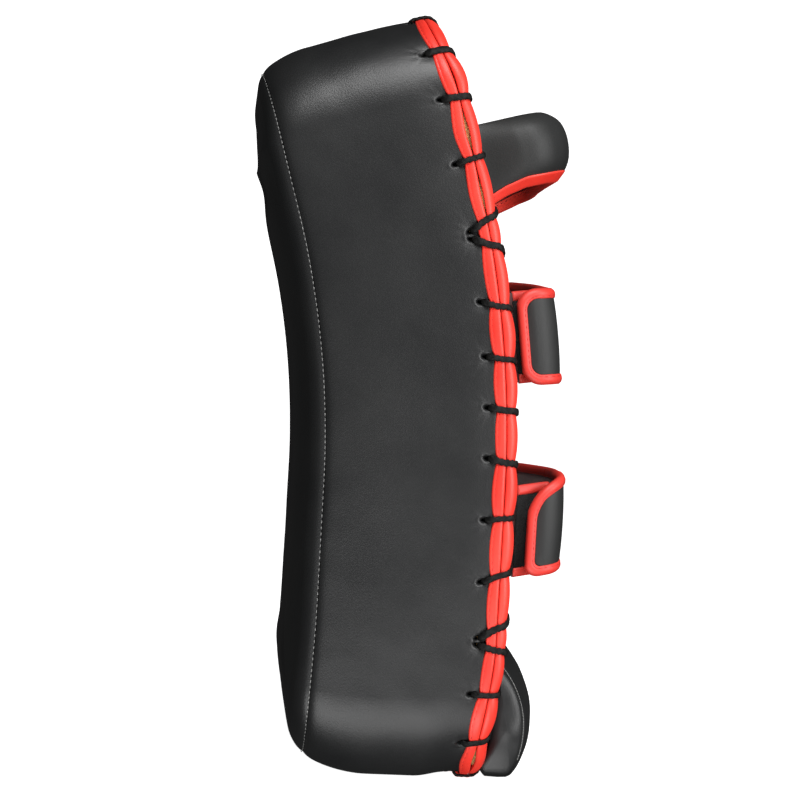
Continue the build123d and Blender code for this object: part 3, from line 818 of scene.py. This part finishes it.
# ---------------------------------------------------------------- things laid over an arch on the back
class Arch:
    """A strip laid along a path in the cross plane: run along the path, wide along the pad, thick outward."""

    def __init__(self, along, path, skew=((0.0, 0.0), (1.0, 0.0))):
        lean = min(max((along - BEND_START) / BEND_RADIUS, 0.0), LEAN)
        self.origin = place(np.array(along), BACK, 0.0)
        self.up = np.array([-math.sin(lean), 0.0, math.cos(lean)])
        self.out = np.array([math.cos(lean), 0.0, math.sin(lean)])
        self.path = np.array(path, float)
        self.run = distances(self.path)
        self.length = self.run[-1]
        tangent = unit(np.gradient(self.path, axis=0))
        self.normal = np.stack([tangent[:, 1], -tangent[:, 0]], axis=1)
        skew = np.array(skew)
        self.slide = np.interp(self.run / self.length, skew[:, 0], skew[:, 1])

    def at(self, run, wide, thick):
        """Points at a run along the path, wide of its middle, and thick outward from it."""
        run, wide, thick = np.broadcast_arrays(run, wide, thick)

        def here(values):
            return np.interp(run, self.run, values)

        across = here(self.path[:, 0]) + thick * here(self.normal[:, 0])
        height = here(self.path[:, 1]) + thick * here(self.normal[:, 1])
        wide = wide + here(self.slide)
        local = height[..., None] * self.out + wide[..., None] * self.up
        return self.origin + (local + across[..., None] * np.array([0.0, 1.0, 0.0])) * MM

    def local(self, across, height, wide=0.0):
        """A point given straight in the cross plane."""
        offset = height * self.out + wide * self.up + across * np.array([0.0, 1.0, 0.0])
        return tuple(self.origin + offset * MM)


def rounded_path(corners, radii, step=1.0):
    """Points along straight runs joined by arcs."""
    corners = [np.array(c, float) for c in corners]
    points = [corners[0]]
    for before, corner, after, radius in zip(corners, corners[1:], corners[2:], radii):
        a = (before - corner) / np.linalg.norm(before - corner)
        b = (after - corner) / np.linalg.norm(after - corner)
        half = math.acos(float(np.clip(a @ b, -1, 1))) / 2
        reach = radius / math.tan(half)
        centre = corner + (a + b) / np.linalg.norm(a + b) * radius / math.sin(half)
        first, last = corner + a * reach, corner + b * reach
        turns = max(4, int((math.pi - 2 * half) * radius / step))
        for i in range(turns + 1):
            blend = first - centre + (last - first) * i / turns
            points.append(centre + blend / np.linalg.norm(blend) * radius)
    points.append(corners[-1])
    dense = [points[0]]
    for a, b in zip(points, points[1:]):
        count = max(1, int(np.linalg.norm(b - a) / step))
        dense += [a + (b - a) * i / count for i in range(1, count + 1) if np.linalg.norm(b - a) > 1e-6]
    return np.array(dense)


def sampled(low, high, step):
    return np.linspace(low, high, max(2, int(abs(high - low) / step) + 1))


STRAP_HALF = 24.0


def half_width(run, end, corner):
    """The strap's half width on one side, near its free end's rounded corner."""
    left = np.clip(end - run, 0.0, corner)
    return STRAP_HALF - (corner - np.sqrt(np.maximum(corner ** 2 - (corner - left) ** 2, 0.0)))


def strip(name, arch, runs, section, low, high, press=1.0):
    """A strip. Its section is in (share of the half width, thickness), pressed thinner by a share."""
    shares, thick = rows_of(section)
    wide = np.where(shares < 0, shares * np.reshape(low, (-1, 1)), shares * np.reshape(high, (-1, 1)))
    return tube_object(name, [arch.at(runs[:, None], wide, thick * np.reshape(press, (-1, 1)))])


STRAP_COVER = [(-0.97, 1.3), (0.97, 1.3), (0.985, 2.2), (0.9, 3.0), (0.75, 3.45), (0.5, 3.8), (0.25, 4.0),
               (0.0, 4.05), (-0.25, 4.0), (-0.5, 3.8), (-0.75, 3.45), (-0.9, 3.0), (-0.985, 2.2)]
STRAP_LINING = [(-0.97, 0.15), (0.0, -0.1), (0.97, 0.15), (0.97, 1.3), (-0.97, 1.3)]
# The folded edge tape: distance in from the strap's edge, and thickness
STRAP_TAPE = [(4.6, 2.7), (4.5, 3.5), (3.9, 4.0), (3.4, 3.85), (2.9, 4.15), (1.6, 4.15), (0.3, 3.6),
              (-0.75, 2.4), (-0.8, 1.0), (0.2, -0.2), (1.6, -0.65), (3.4, -0.6), (4.2, -0.3), (4.4, 0.4)]


def inward_of(outline):
    """The directions to the left of an outline of (run, wide) points."""
    tangent = unit(np.gradient(outline, axis=0))
    return np.stack([-tangent[:, 1], tangent[:, 0]], axis=1)


def tape_rings(arch, outline, section):
    """Rings of an edge tape that follows an outline, inward to its left."""
    outline = np.array(outline)
    inward = inward_of(outline)
    depth, thick = rows_of(section)
    run = outline[:, :1] + inward[:, :1] * depth
    wide = outline[:, 1:] + inward[:, 1:] * depth
    return arch.at(run, wide, thick + 0.0 * run)


def tape_stitches(name, arch, outlines, depth, thick, spacing=3.0):
    """A sewn line along an edge tape."""
    centres, directions, normals = [], [], []
    for outline in outlines:
        outline = np.array(outline)
        length = distances(outline)
        line = outline + inward_of(outline) * depth
        for at in np.arange(spacing, length[-1] - 1, spacing):
            run, wide = np.interp(at, length, line[:, 0]), np.interp(at, length, line[:, 1])
            run2, wide2 = np.interp(at + 0.5, length, line[:, 0]), np.interp(at + 0.5, length, line[:, 1])
            centre = arch.at(run, wide, thick)
            centres.append(centre)
            directions.append(arch.at(run2, wide2, thick) - centre)
            normals.append(arch.at(run, wide, thick + 1.0) - centre)
    return beads(name, centres, directions, normals, 1.9 * MM, 0.45 * MM, 0.42 * MM)


def orient(obj):
    """Makes a closed mesh's faces point outward."""
    bm = bmesh.new()
    bm.from_mesh(obj.data)
    bmesh.ops.recalc_face_normals(bm, faces=bm.faces)
    bm.to_mesh(obj.data)
    bm.free()
    return obj


def build_strap(name, along, top, bow, drop, corners, skew, tab_skew):
    """One forearm strap: a flap in two lengths that meet on the arch, and the tab it closes on.

    Along is its place on the pad, top its height off the back, bow its extra height in the middle, and drop
    the height of its free end. Corners are the free end's two radii. Skews are (share of the run, shift).
    """
    inner = [(66.0, 0.2), (81.0, 0.2), (81.0, top), (-80.0, top), (-82.5, drop)]
    path = rounded_path(inner, [2.5, 14.0, 9.0])
    raised = bow * np.clip(1 - ((path[:, 0] - 4.0) / 70.0) ** 2, 0, 1) ** 1.5
    path[:, 1] += np.where(path[:, 1] > top - 6.0, raised, 0.0)
    arch = Arch(along, path, skew)
    split = float(arch.run[np.argmin(np.abs(path[:, 0]) + np.where(path[:, 1] > 20, 0, 500))])
    end = arch.length
    flap, tip = name + "_flap", name + "_flap_end"

    def root_piece(obj, material, nodes=()):
        orient(obj)
        finish_piece(obj, material, nodes)
        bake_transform(obj)

    def tip_piece(obj, material, nodes=()):
        orient(obj)
        finish_piece(obj, material, nodes)
        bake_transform(obj)

    low_corner, high_corner = corners
    root_runs = sampled(0.0, split, 1.5)
    largest = max(corners)
    cut = end - 2.3
    tip_runs = np.concatenate([sampled(split, cut - largest, 1.5), sampled(cut - largest, cut, 0.6)[1:]])
    low, high = half_width(tip_runs, cut, low_corner), half_width(tip_runs, cut, high_corner)
    cover = strip(name + "_flap_leather", arch, root_runs, STRAP_COVER, STRAP_HALF, STRAP_HALF)
    root_piece(cover, STRAP_BLACK, [name + "_flap_cover", name + "_flap_base"])
    lining = strip(name + "_flap_inside", arch, root_runs, STRAP_LINING, STRAP_HALF, STRAP_HALF)
    root_piece(lining, SHADE_DARKENED_LINING, [name + "_flap_lining"])
    thinner = 1 - 0.5 * smooth((tip_runs - end + 9.0) / 6.5)
    cover = strip(name + "_tip_leather", arch, tip_runs, STRAP_COVER, low, high, thinner)
    tip_piece(cover, STRAP_BLACK, [name + "_tip_cover"])
    lining = strip(name + "_tip_inside", arch, tip_runs, STRAP_LINING, low, high)
    tip_piece(lining, SHADE_DARKENED_LINING, [name + "_tip_lining"])

    low_edge = [(r, -STRAP_HALF) for r in root_runs]
    high_edge = [(r, STRAP_HALF) for r in root_runs[::-1]]
    angles = np.linspace(0, math.pi / 2, 16)
    low_arc = [(end - low_corner + low_corner * math.sin(a), -STRAP_HALF + low_corner * (1 - math.cos(a)))
               for a in angles]
    high_arc = [(end - high_corner + high_corner * math.sin(a), STRAP_HALF - high_corner * (1 - math.cos(a)))
                for a in angles[::-1]]
    across = sampled(low_corner - STRAP_HALF, STRAP_HALF - high_corner, 1.5)[1:-1]
    round_end = ([(r, -STRAP_HALF) for r in sampled(split, end - low_corner, 1.5)[:-1]] + low_arc
                 + [(end, w) for w in across] + high_arc
                 + [(r, STRAP_HALF) for r in sampled(split, end - high_corner, 1.5)[:-1][::-1]])
    tape = tube_object(name + "_flap_edging",
                       [tape_rings(arch, edge, STRAP_TAPE) for edge in (low_edge, high_edge)])
    root_piece(tape, SHADE_DARKENED_STRAP_RED, [name + "_flap_binding"])
    tape = tube_object(name + "_tip_edging", [tape_rings(arch, round_end, STRAP_TAPE)])
    tip_piece(tape, SHADE_DARKENED_STRAP_RED, [name + "_tip_binding"])
    root_piece(tape_stitches(name + "_flap_stitches", arch, (low_edge, high_edge), 3.4, 3.95),
               RED_THREAD)
    tip_piece(tape_stitches(name + "_tip_stitches", arch, (round_end,), 3.4, 3.95), RED_THREAD)

    hook_runs = sampled(end - 10.5, end - 4.9, 0.8)
    low = np.minimum(half_width(hook_runs, end, low_corner) - 5.0, 18.5)
    high = np.minimum(half_width(hook_runs, end, high_corner) - 5.0, 18.5)
    hook_section = [(-1.0, -0.9), (1.0, -0.9), (1.0, 0.1), (-1.0, 0.1)]
    hook = strip(name + "_hook_patch", arch, hook_runs, hook_section, low, high)
    orient(hook)
    finish_piece(hook, HOOKS, [name + "_tip_hook"], tip)
    build_tab(name, along, tab_skew)


def build_tab(name, along, skew):
    """The short tab on the near side, faced with pile and edged in red, sewn down by a flange."""
    path = rounded_path([(-64.0, 0.2), (-78.9, 0.2), (-80.5, 3.0), (-74.2, 22.0)], [0.5, 1.0])
    arch = Arch(along, path, skew)
    half = 23.0
    runs = sampled(0.0, arch.length, 1.2)
    tab = name + "_tab"

    def hinged(obj, material, nodes=()):
        orient(obj)
        finish_piece(obj, material, nodes)
        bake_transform(obj)

    section = [(-1.0, 0.1), (1.0, 0.1), (1.0, 1.7), (-1.0, 1.7)]
    leather_strip = strip(tab + "_leather", arch, runs, section, half, half)
    hinged(leather_strip, SHADE_DARKENED_LINING, [tab, tab + "_base"])
    rise = arch.length - 18.0
    edge_runs = sampled(rise, arch.length, 1.2)
    outline = ([(r, -half) for r in edge_runs[:-1]] + [(arch.length, w) for w in sampled(-half, half, 1.5)]
               + [(r, half) for r in edge_runs[:-1][::-1]])
    section = [(4.4, 1.6), (4.2, 2.2), (2.6, 2.5), (0.5, 2.3), (-0.7, 1.6), (-0.7, 0.4), (0.4, -0.35),
               (2.6, -0.6), (4.2, -0.5), (4.4, 0.2)]
    tape = tube_object(tab + "_edging", [tape_rings(arch, outline, section)])
    hinged(tape, SHADE_DARKENED_STRAP_RED, [tab + "_binding"])
    pile_runs = sampled(rise - 0.5, arch.length - 4.2, 1.0)
    pile_section = [(-1.0, 0.3), (-1.0, -0.8), (0.0, -1.05), (1.0, -0.8), (1.0, 0.3)]
    pile = strip(tab + "_pile_face", arch, pile_runs, pile_section, half - 4.4, half - 4.4)
    orient(pile)
    finish_piece(pile, PILE, [tab + "_pile"], tab)


def build_handle():
    """The grip handle: a padded cover rolled over its upper edge, red lower edge, and a red lining darkened
    to paint the shade it lies in.
    """
    along = 309.5
    path = rounded_path([(64.5, -0.5), (58.0, 41.0), (-58.0, 41.0), (-64.5, -0.5)], [20.0, 20.0])
    arch = Arch(along, path)
    end = arch.length
    runs = sampled(0.0, end, 1.6)
    foot = np.minimum(runs, end - runs)
    fat = 0.28 + 0.72 * smooth(foot / 32.0)
    section = [(-14.6, 0.9), (-15.2, 2.0), (-15.0, 4.0), (-14.2, 6.2), (-11.7, 9.6), (-7.7, 12.2),
               (-2.8, 13.4), (1.0, 13.6), (4.2, 13.4), (8.0, 12.6), (11.2, 11.2), (14.6, 7.8), (16.8, 4.4),
               (17.6, 2.0), (17.2, 0.3), (15.0, -0.4), (13.6, 0.4), (0.0, 1.2)]
    wide, thick = rows_of(section)
    # The lower edge hangs lowest at the far foot and rises towards the near one
    shares, drops = zip(*((0.0, 1.72), (0.12, 1.66), (0.2, 1.46), (0.35, 1.32), (0.5, 1.26), (0.65, 1.22),
                          (0.87, 1.16), (0.93, 1.3), (1.0, 1.6)))
    lower_edge = np.interp(runs / end, shares, drops)[:, None]
    wide = np.where(wide < 0, wide * lower_edge, wide)
    slack = 0.5 * np.sin(runs[:, None] * 0.19 + 1.0) * np.sin(runs[:, None] * 0.071) * (thick / 16.0)
    creases = 0.5 * np.exp(-((foot[:, None] - 26) / 2.2) ** 2) * (thick > 6) \
        + 0.4 * np.exp(-((foot[:, None] - 38) / 2.6) ** 2) * (thick > 9)
    rings = arch.at(runs[:, None], wide, thick * fat[:, None] + slack - creases)
    cover = orient(tube_object("handle_padding_cover", [rings]))
    subdivide(cover, 1)
    finish_piece(cover, STRAP_BLACK, ["handle_cover", "handle_foam"], "pad")
    section = [(-15.0, -0.25), (-15.0, 0.9), (14.4, 0.9), (14.4, -0.35), (0.0, -0.5)]
    wide, thick = rows_of(section)
    rings = arch.at(runs[:, None], np.where(wide < 0, wide * lower_edge, wide), thick)
    lining = orient(tube_object("handle_inside", [rings]))
    finish_piece(lining, SHADE_DARKENED_LINING, ["handle_lining"], "pad")

    outline = [(r, -15.2 * share - 1.9) for r, share in zip(runs, lower_edge[:, 0])]
    section = [(6.0, -0.2), (5.6, -0.85), (3.0, -1.15), (0.8, -0.9), (-0.2, 0.1), (-0.35, 1.6), (0.2, 3.4),
               (1.4, 4.7), (2.4, 6.0), (3.6, 7.4), (4.5, 8.4), (4.9, 7.8), (4.5, 6.6), (3.4, 4.6), (2.6, 3.0),
               (3.0, 0.8)]
    depth, thick = rows_of(section)
    lift = np.where(thick > 1.5, 0.12 + 0.88 * fat[:, None], 1.0)
    rings = arch.at(runs[:, None], depth - 15.2 * lower_edge - 1.9, thick * lift)
    finish_piece(orient(tube_object("handle_edging", [rings])), RED, ["handle_binding"], "pad")
    stitches = tape_stitches("handle_stitches", arch, [outline], 4.4, -1.05)
    finish_piece(stitches, RED_THREAD, (), "pad")

    foot_inner, foot_outer = 66.0, 88.0
    foot_section = ((-20.5, -0.6), (-20.8, 0.9), (-19.6, 1.5), (0.0, 1.7), (19.6, 1.5), (20.8, 0.9),
                    (20.5, -0.6))
    feet = []
    for side in (-1, 1):
        rows = []
        for y in np.linspace(foot_inner, foot_outer, 12) * side:
            edge = min(1.0, (foot_outer - abs(y)) / 1.2 + 0.25)
            rows.append([arch.local(y, h * edge if h > 0 else h, w) for w, h in foot_section])
        feet.append(np.array(rows))
    feet = orient(tube_object("handle_sewn_feet", feet))
    finish_piece(feet, STRAP_BLACK, ["handle_feet"], "pad")
    centres, directions, normals = [], [], []
    for side in (-1, 1):
        lines = [((86.3, -18.5), (86.3, 18.5)), ((79.5, -18.5), (86.3, -18.5)), ((79.5, 18.5), (86.3, 18.5)),
                 ((79.5, -18.5), (79.5, 18.5))]
        for (y0, w0), (y1, w1) in lines:
            length = math.hypot(y1 - y0, w1 - w0)
            for i in range(int(length / 2.8)):
                shares = (i + 0.5) * 2.8 / length, (i + 0.5) * 2.8 / length + 0.05
                here, there = [np.array(arch.local(side * (y0 + (y1 - y0) * t), 1.62, w0 + (w1 - w0) * t))
                               for t in shares]
                centres.append(here)
                directions.append(there - here)
                normals.append(arch.out)
    obj = beads("handle_foot_stitches", centres, directions, normals, 1.9 * MM, 0.45 * MM, 0.4 * MM)
    finish_piece(obj, GREY_THREAD, (), "pad")


def subdivide(obj, levels):
    """Smooths a closed mesh with a subdivision surface, kept in the mesh."""
    modifier = obj.modifiers.new("smooth", "SUBSURF")
    modifier.levels = levels
    modifier.render_levels = levels
    depsgraph = bpy.context.evaluated_depsgraph_get()
    mesh = bpy.data.meshes.new_from_object(obj.evaluated_get(depsgraph))
    obj.modifiers.clear()
    obj.data = mesh
    return obj


BOLSTER_HALF = 76.0
BOLSTER_LOW = 1.2
BOLSTER_HIGH = 75.0


def bolster_section(across, points=44):
    """One slice of the bolster as (height, depth) points, closed, from its top round the outside."""
    share = abs(across) / BOLSTER_HALF
    plump = 15.6 + 8.9 * (1 - share ** 4)
    low = BOLSTER_LOW + 5.0 * share ** 6
    high = BOLSTER_HIGH - 11.0 * share ** 6
    middle = 0.41
    section = []
    for i in range(points):
        level = 0.5 + 0.5 * math.cos(math.pi * i / (points - 1))
        if level > middle:
            depth = (1 - ((level - middle) / (1 - middle)) ** 2.0) ** 0.85
        else:
            depth = 0.6 + 0.4 * (1 - ((middle - level) / middle) ** 2.2) ** 0.8
        section.append((low + (high - low) * level, max(depth, 0.0) * plump))
    flare = 3.4 * share ** 8
    section += [(low - 0.9, 0.5 * plump), (low - 1.1, 0.28 * plump), (low - 0.8, -0.6 - flare),
                (low + 2.0, -2.2 - 1.2 * flare),
                (16.0, -2.2 - 0.3 * flare), (24.5, -1.6), (34.0, -1.5), (52.0, -0.6), (high - 4, 0.0)]
    return section


def build_bolster():
    """The elbow bolster: a plump cover between two end caps, with the closing seams."""
    slices = np.linspace(-BOLSTER_HALF, BOLSTER_HALF, 60)
    rings = []
    for y in slices:
        rings.append([(BACK + d, y, z) for z, d in bolster_section(y)])
    points = np.array(rings) * MM
    lumps = waves(points, 26, 0.9, 31.0) + waves(points, 9, 0.22, 12.0)
    outer = (points[..., 0] > (BACK + 3) * MM)
    points[..., 0] += lumps * MM * outer
    cover = tube_object("bolster_padding", [points])
    orient(cover)
    finish_piece(cover, BLACK, ["bolster_cover", "bolster_foam"], "pad")

    for side, node in ((-1, "bolster_end_near"), (1, "bolster_end_far")):
        rim_section = np.array(bolster_section(BOLSTER_HALF))
        centre = np.array([30.0, 6.5])
        rows = []
        for share in np.linspace(0.0, 1.0, 12):
            bulge = 4.5 * math.sqrt(max(1 - (1 - share) ** 2, 0.0))
            flat = rim_section + (centre - rim_section) * share * 0.98
            y = side * (BOLSTER_HALF + 0.2 + bulge)
            rows.append([(BACK + d, y, z) for z, d in flat])
        points = np.array(rows) * MM
        folds = side * (waves(points, 13, 1.7, 7.0 + side) + waves(points, 6, 0.35, side))
        points[..., 1] += folds * MM * np.linspace(0, 1, 12)[:, None] ** 0.5
        cap = tube_object(node + "_cap", [points])
        orient(cap)
        finish_piece(cap, BLACK, [node], "pad")

    centres, directions, normals = [], [], []
    section = np.array(bolster_section(BOLSTER_HALF)[:44])
    length = distances(section)
    for side in (-1, 1):
        for at in np.arange(2.0, length[-1] - 8.0, 1.5):
            z, d = np.interp(at, length, section[:, 0]), np.interp(at, length, section[:, 1])
            z2, d2 = np.interp(at + 0.4, length, section[:, 0]), np.interp(at + 0.4, length, section[:, 1])
            here = np.array([BACK + d + 0.15, side * (BOLSTER_HALF + 0.15), z]) * MM
            centres.append(here)
            directions.append(np.array([d2 - d, 0.0, z2 - z]))
            normals.append(np.array([0.6, side * 0.8, 0.0]))
    obj = beads("bolster_seam_stitches", centres, directions, normals, 1.6 * MM, 0.4 * MM, 0.4 * MM)
    finish_piece(obj, GREY_THREAD, (), "pad")


# ---------------------------------------------------------------- camera, floor and light
def build_camera():
    """Looks along the width, a little from the strike side, rolled so that the pad leans to the right."""
    yaw = math.radians(5.0)
    roll = math.radians(3.25)
    far = 1.0
    target = Vector((-0.008, -0.100, 0.1973))
    place_at = target + Vector((-math.sin(yaw) * far, -math.cos(yaw) * far, 0.0307))
    forward = (target - place_at).normalized()
    right = forward.cross(Vector((0, 0, 1))).normalized()
    up = right.cross(forward)
    rolled_right = right * math.cos(roll) + up * math.sin(roll)
    rolled_up = up * math.cos(roll) - right * math.sin(roll)
    matrix = Matrix((rolled_right, rolled_up, -forward)).transposed().to_4x4()
    matrix.translation = place_at
    data = bpy.data.cameras.new("camera")
    data.sensor_width = 36.0
    data.lens = 90.1
    data.clip_start = 0.05
    camera = bpy.data.objects.new("camera", data)
    camera.matrix_world = matrix
    bpy.context.scene.collection.objects.link(camera)
    bpy.context.scene.camera = camera


def build_stage():
    """A white floor that curves up into a backdrop; it is bright to look at but lights nothing itself."""
    n = Nodes("white_paper")
    tone = n.noise(n.place(), 6.0, 3.0)
    colour = n.ramp(tone, [(0.3, (0.9, 0.9, 0.9)), (0.7, (0.94, 0.94, 0.94))])
    material = n.finish(Base_Color=colour, Roughness=0.9, Specular_IOR_Level=0.1,
                        Emission_Color=(1.0, 1.0, 1.0), Emission_Strength=1.0)
    sweep = [(-3.0, 0.0), (1.2, 0.0), (1.6, 0.02), (1.95, 0.12), (2.2, 0.32), (2.35, 0.65), (2.4, 1.2),
             (2.4, 3.2)]
    sheet = np.array([[(x, y, z - 0.0002) for x in (-4.0, 0.0, 4.0)] for y, z in sweep])
    floor = grid_object("studio_floor", sheet)
    floor.data.materials.append(material)
    floor.visible_glossy = False
    floor.visible_diffuse = False
    floor.visible_shadow = False


def add_light(name, position, target, size, power):
    data = bpy.data.lights.new(name, "AREA")
    data.shape = "RECTANGLE"
    data.size, data.size_y = size
    data.energy = power
    light = bpy.data.objects.new(name, data)
    light.location = position
    light.rotation_euler = (Vector(target) - Vector(position)).to_track_quat("-Z", "Y").to_euler()
    bpy.context.scene.collection.objects.link(light)


def build_lights():
    """Soft boxes high in front and on the arm side, light off the table from below, and a dim room."""
    middle = (0.0, 0.0, 0.2)
    add_light("top_box", (0.15, -1.0, 1.45), middle, (1.0, 0.7), 29)
    add_light("arm_side_box", (1.25, -1.1, 0.45), middle, (0.9, 1.2), 26)
    add_light("table_bounce", (-0.15, -0.75, -0.45), middle, (1.0, 0.6), 9)
    world = bpy.data.worlds.new("room")
    world.use_nodes = True
    background = world.node_tree.nodes["Background"]
    background.inputs["Color"].default_value = (1, 1, 1, 1)
    background.inputs["Strength"].default_value = 0.025
    bpy.context.scene.world = world
    bpy.context.scene.view_settings.view_transform = "Standard"


build_camera()
build_stage()
build_lights()
build_gusset()
build_front()
build_back()
build_bindings()
binding_stitches()
build_lace()
build_foam()
build_handle()
build_bolster()
build_strap("upper", along=225.5, top=23.9, bow=2.5, drop=6.0, corners=(10.0, 11.0),
            skew=((0.0, 4.0), (0.2, 4.0), (0.9, -2.5), (1.0, -1.5)), tab_skew=((0.0, -1.5), (1.0, -1.5)))
build_strap("lower", along=136.5, top=26.4, bow=5.5, drop=10.0, corners=(8.0, 20.0),
            skew=((0.0, -2.5), (0.2, -2.5), (0.88, 2.5), (1.0, -3.0)),
            tab_skew=((0.0, -4.5), (0.45, -4.5), (1.0, -1.5)))
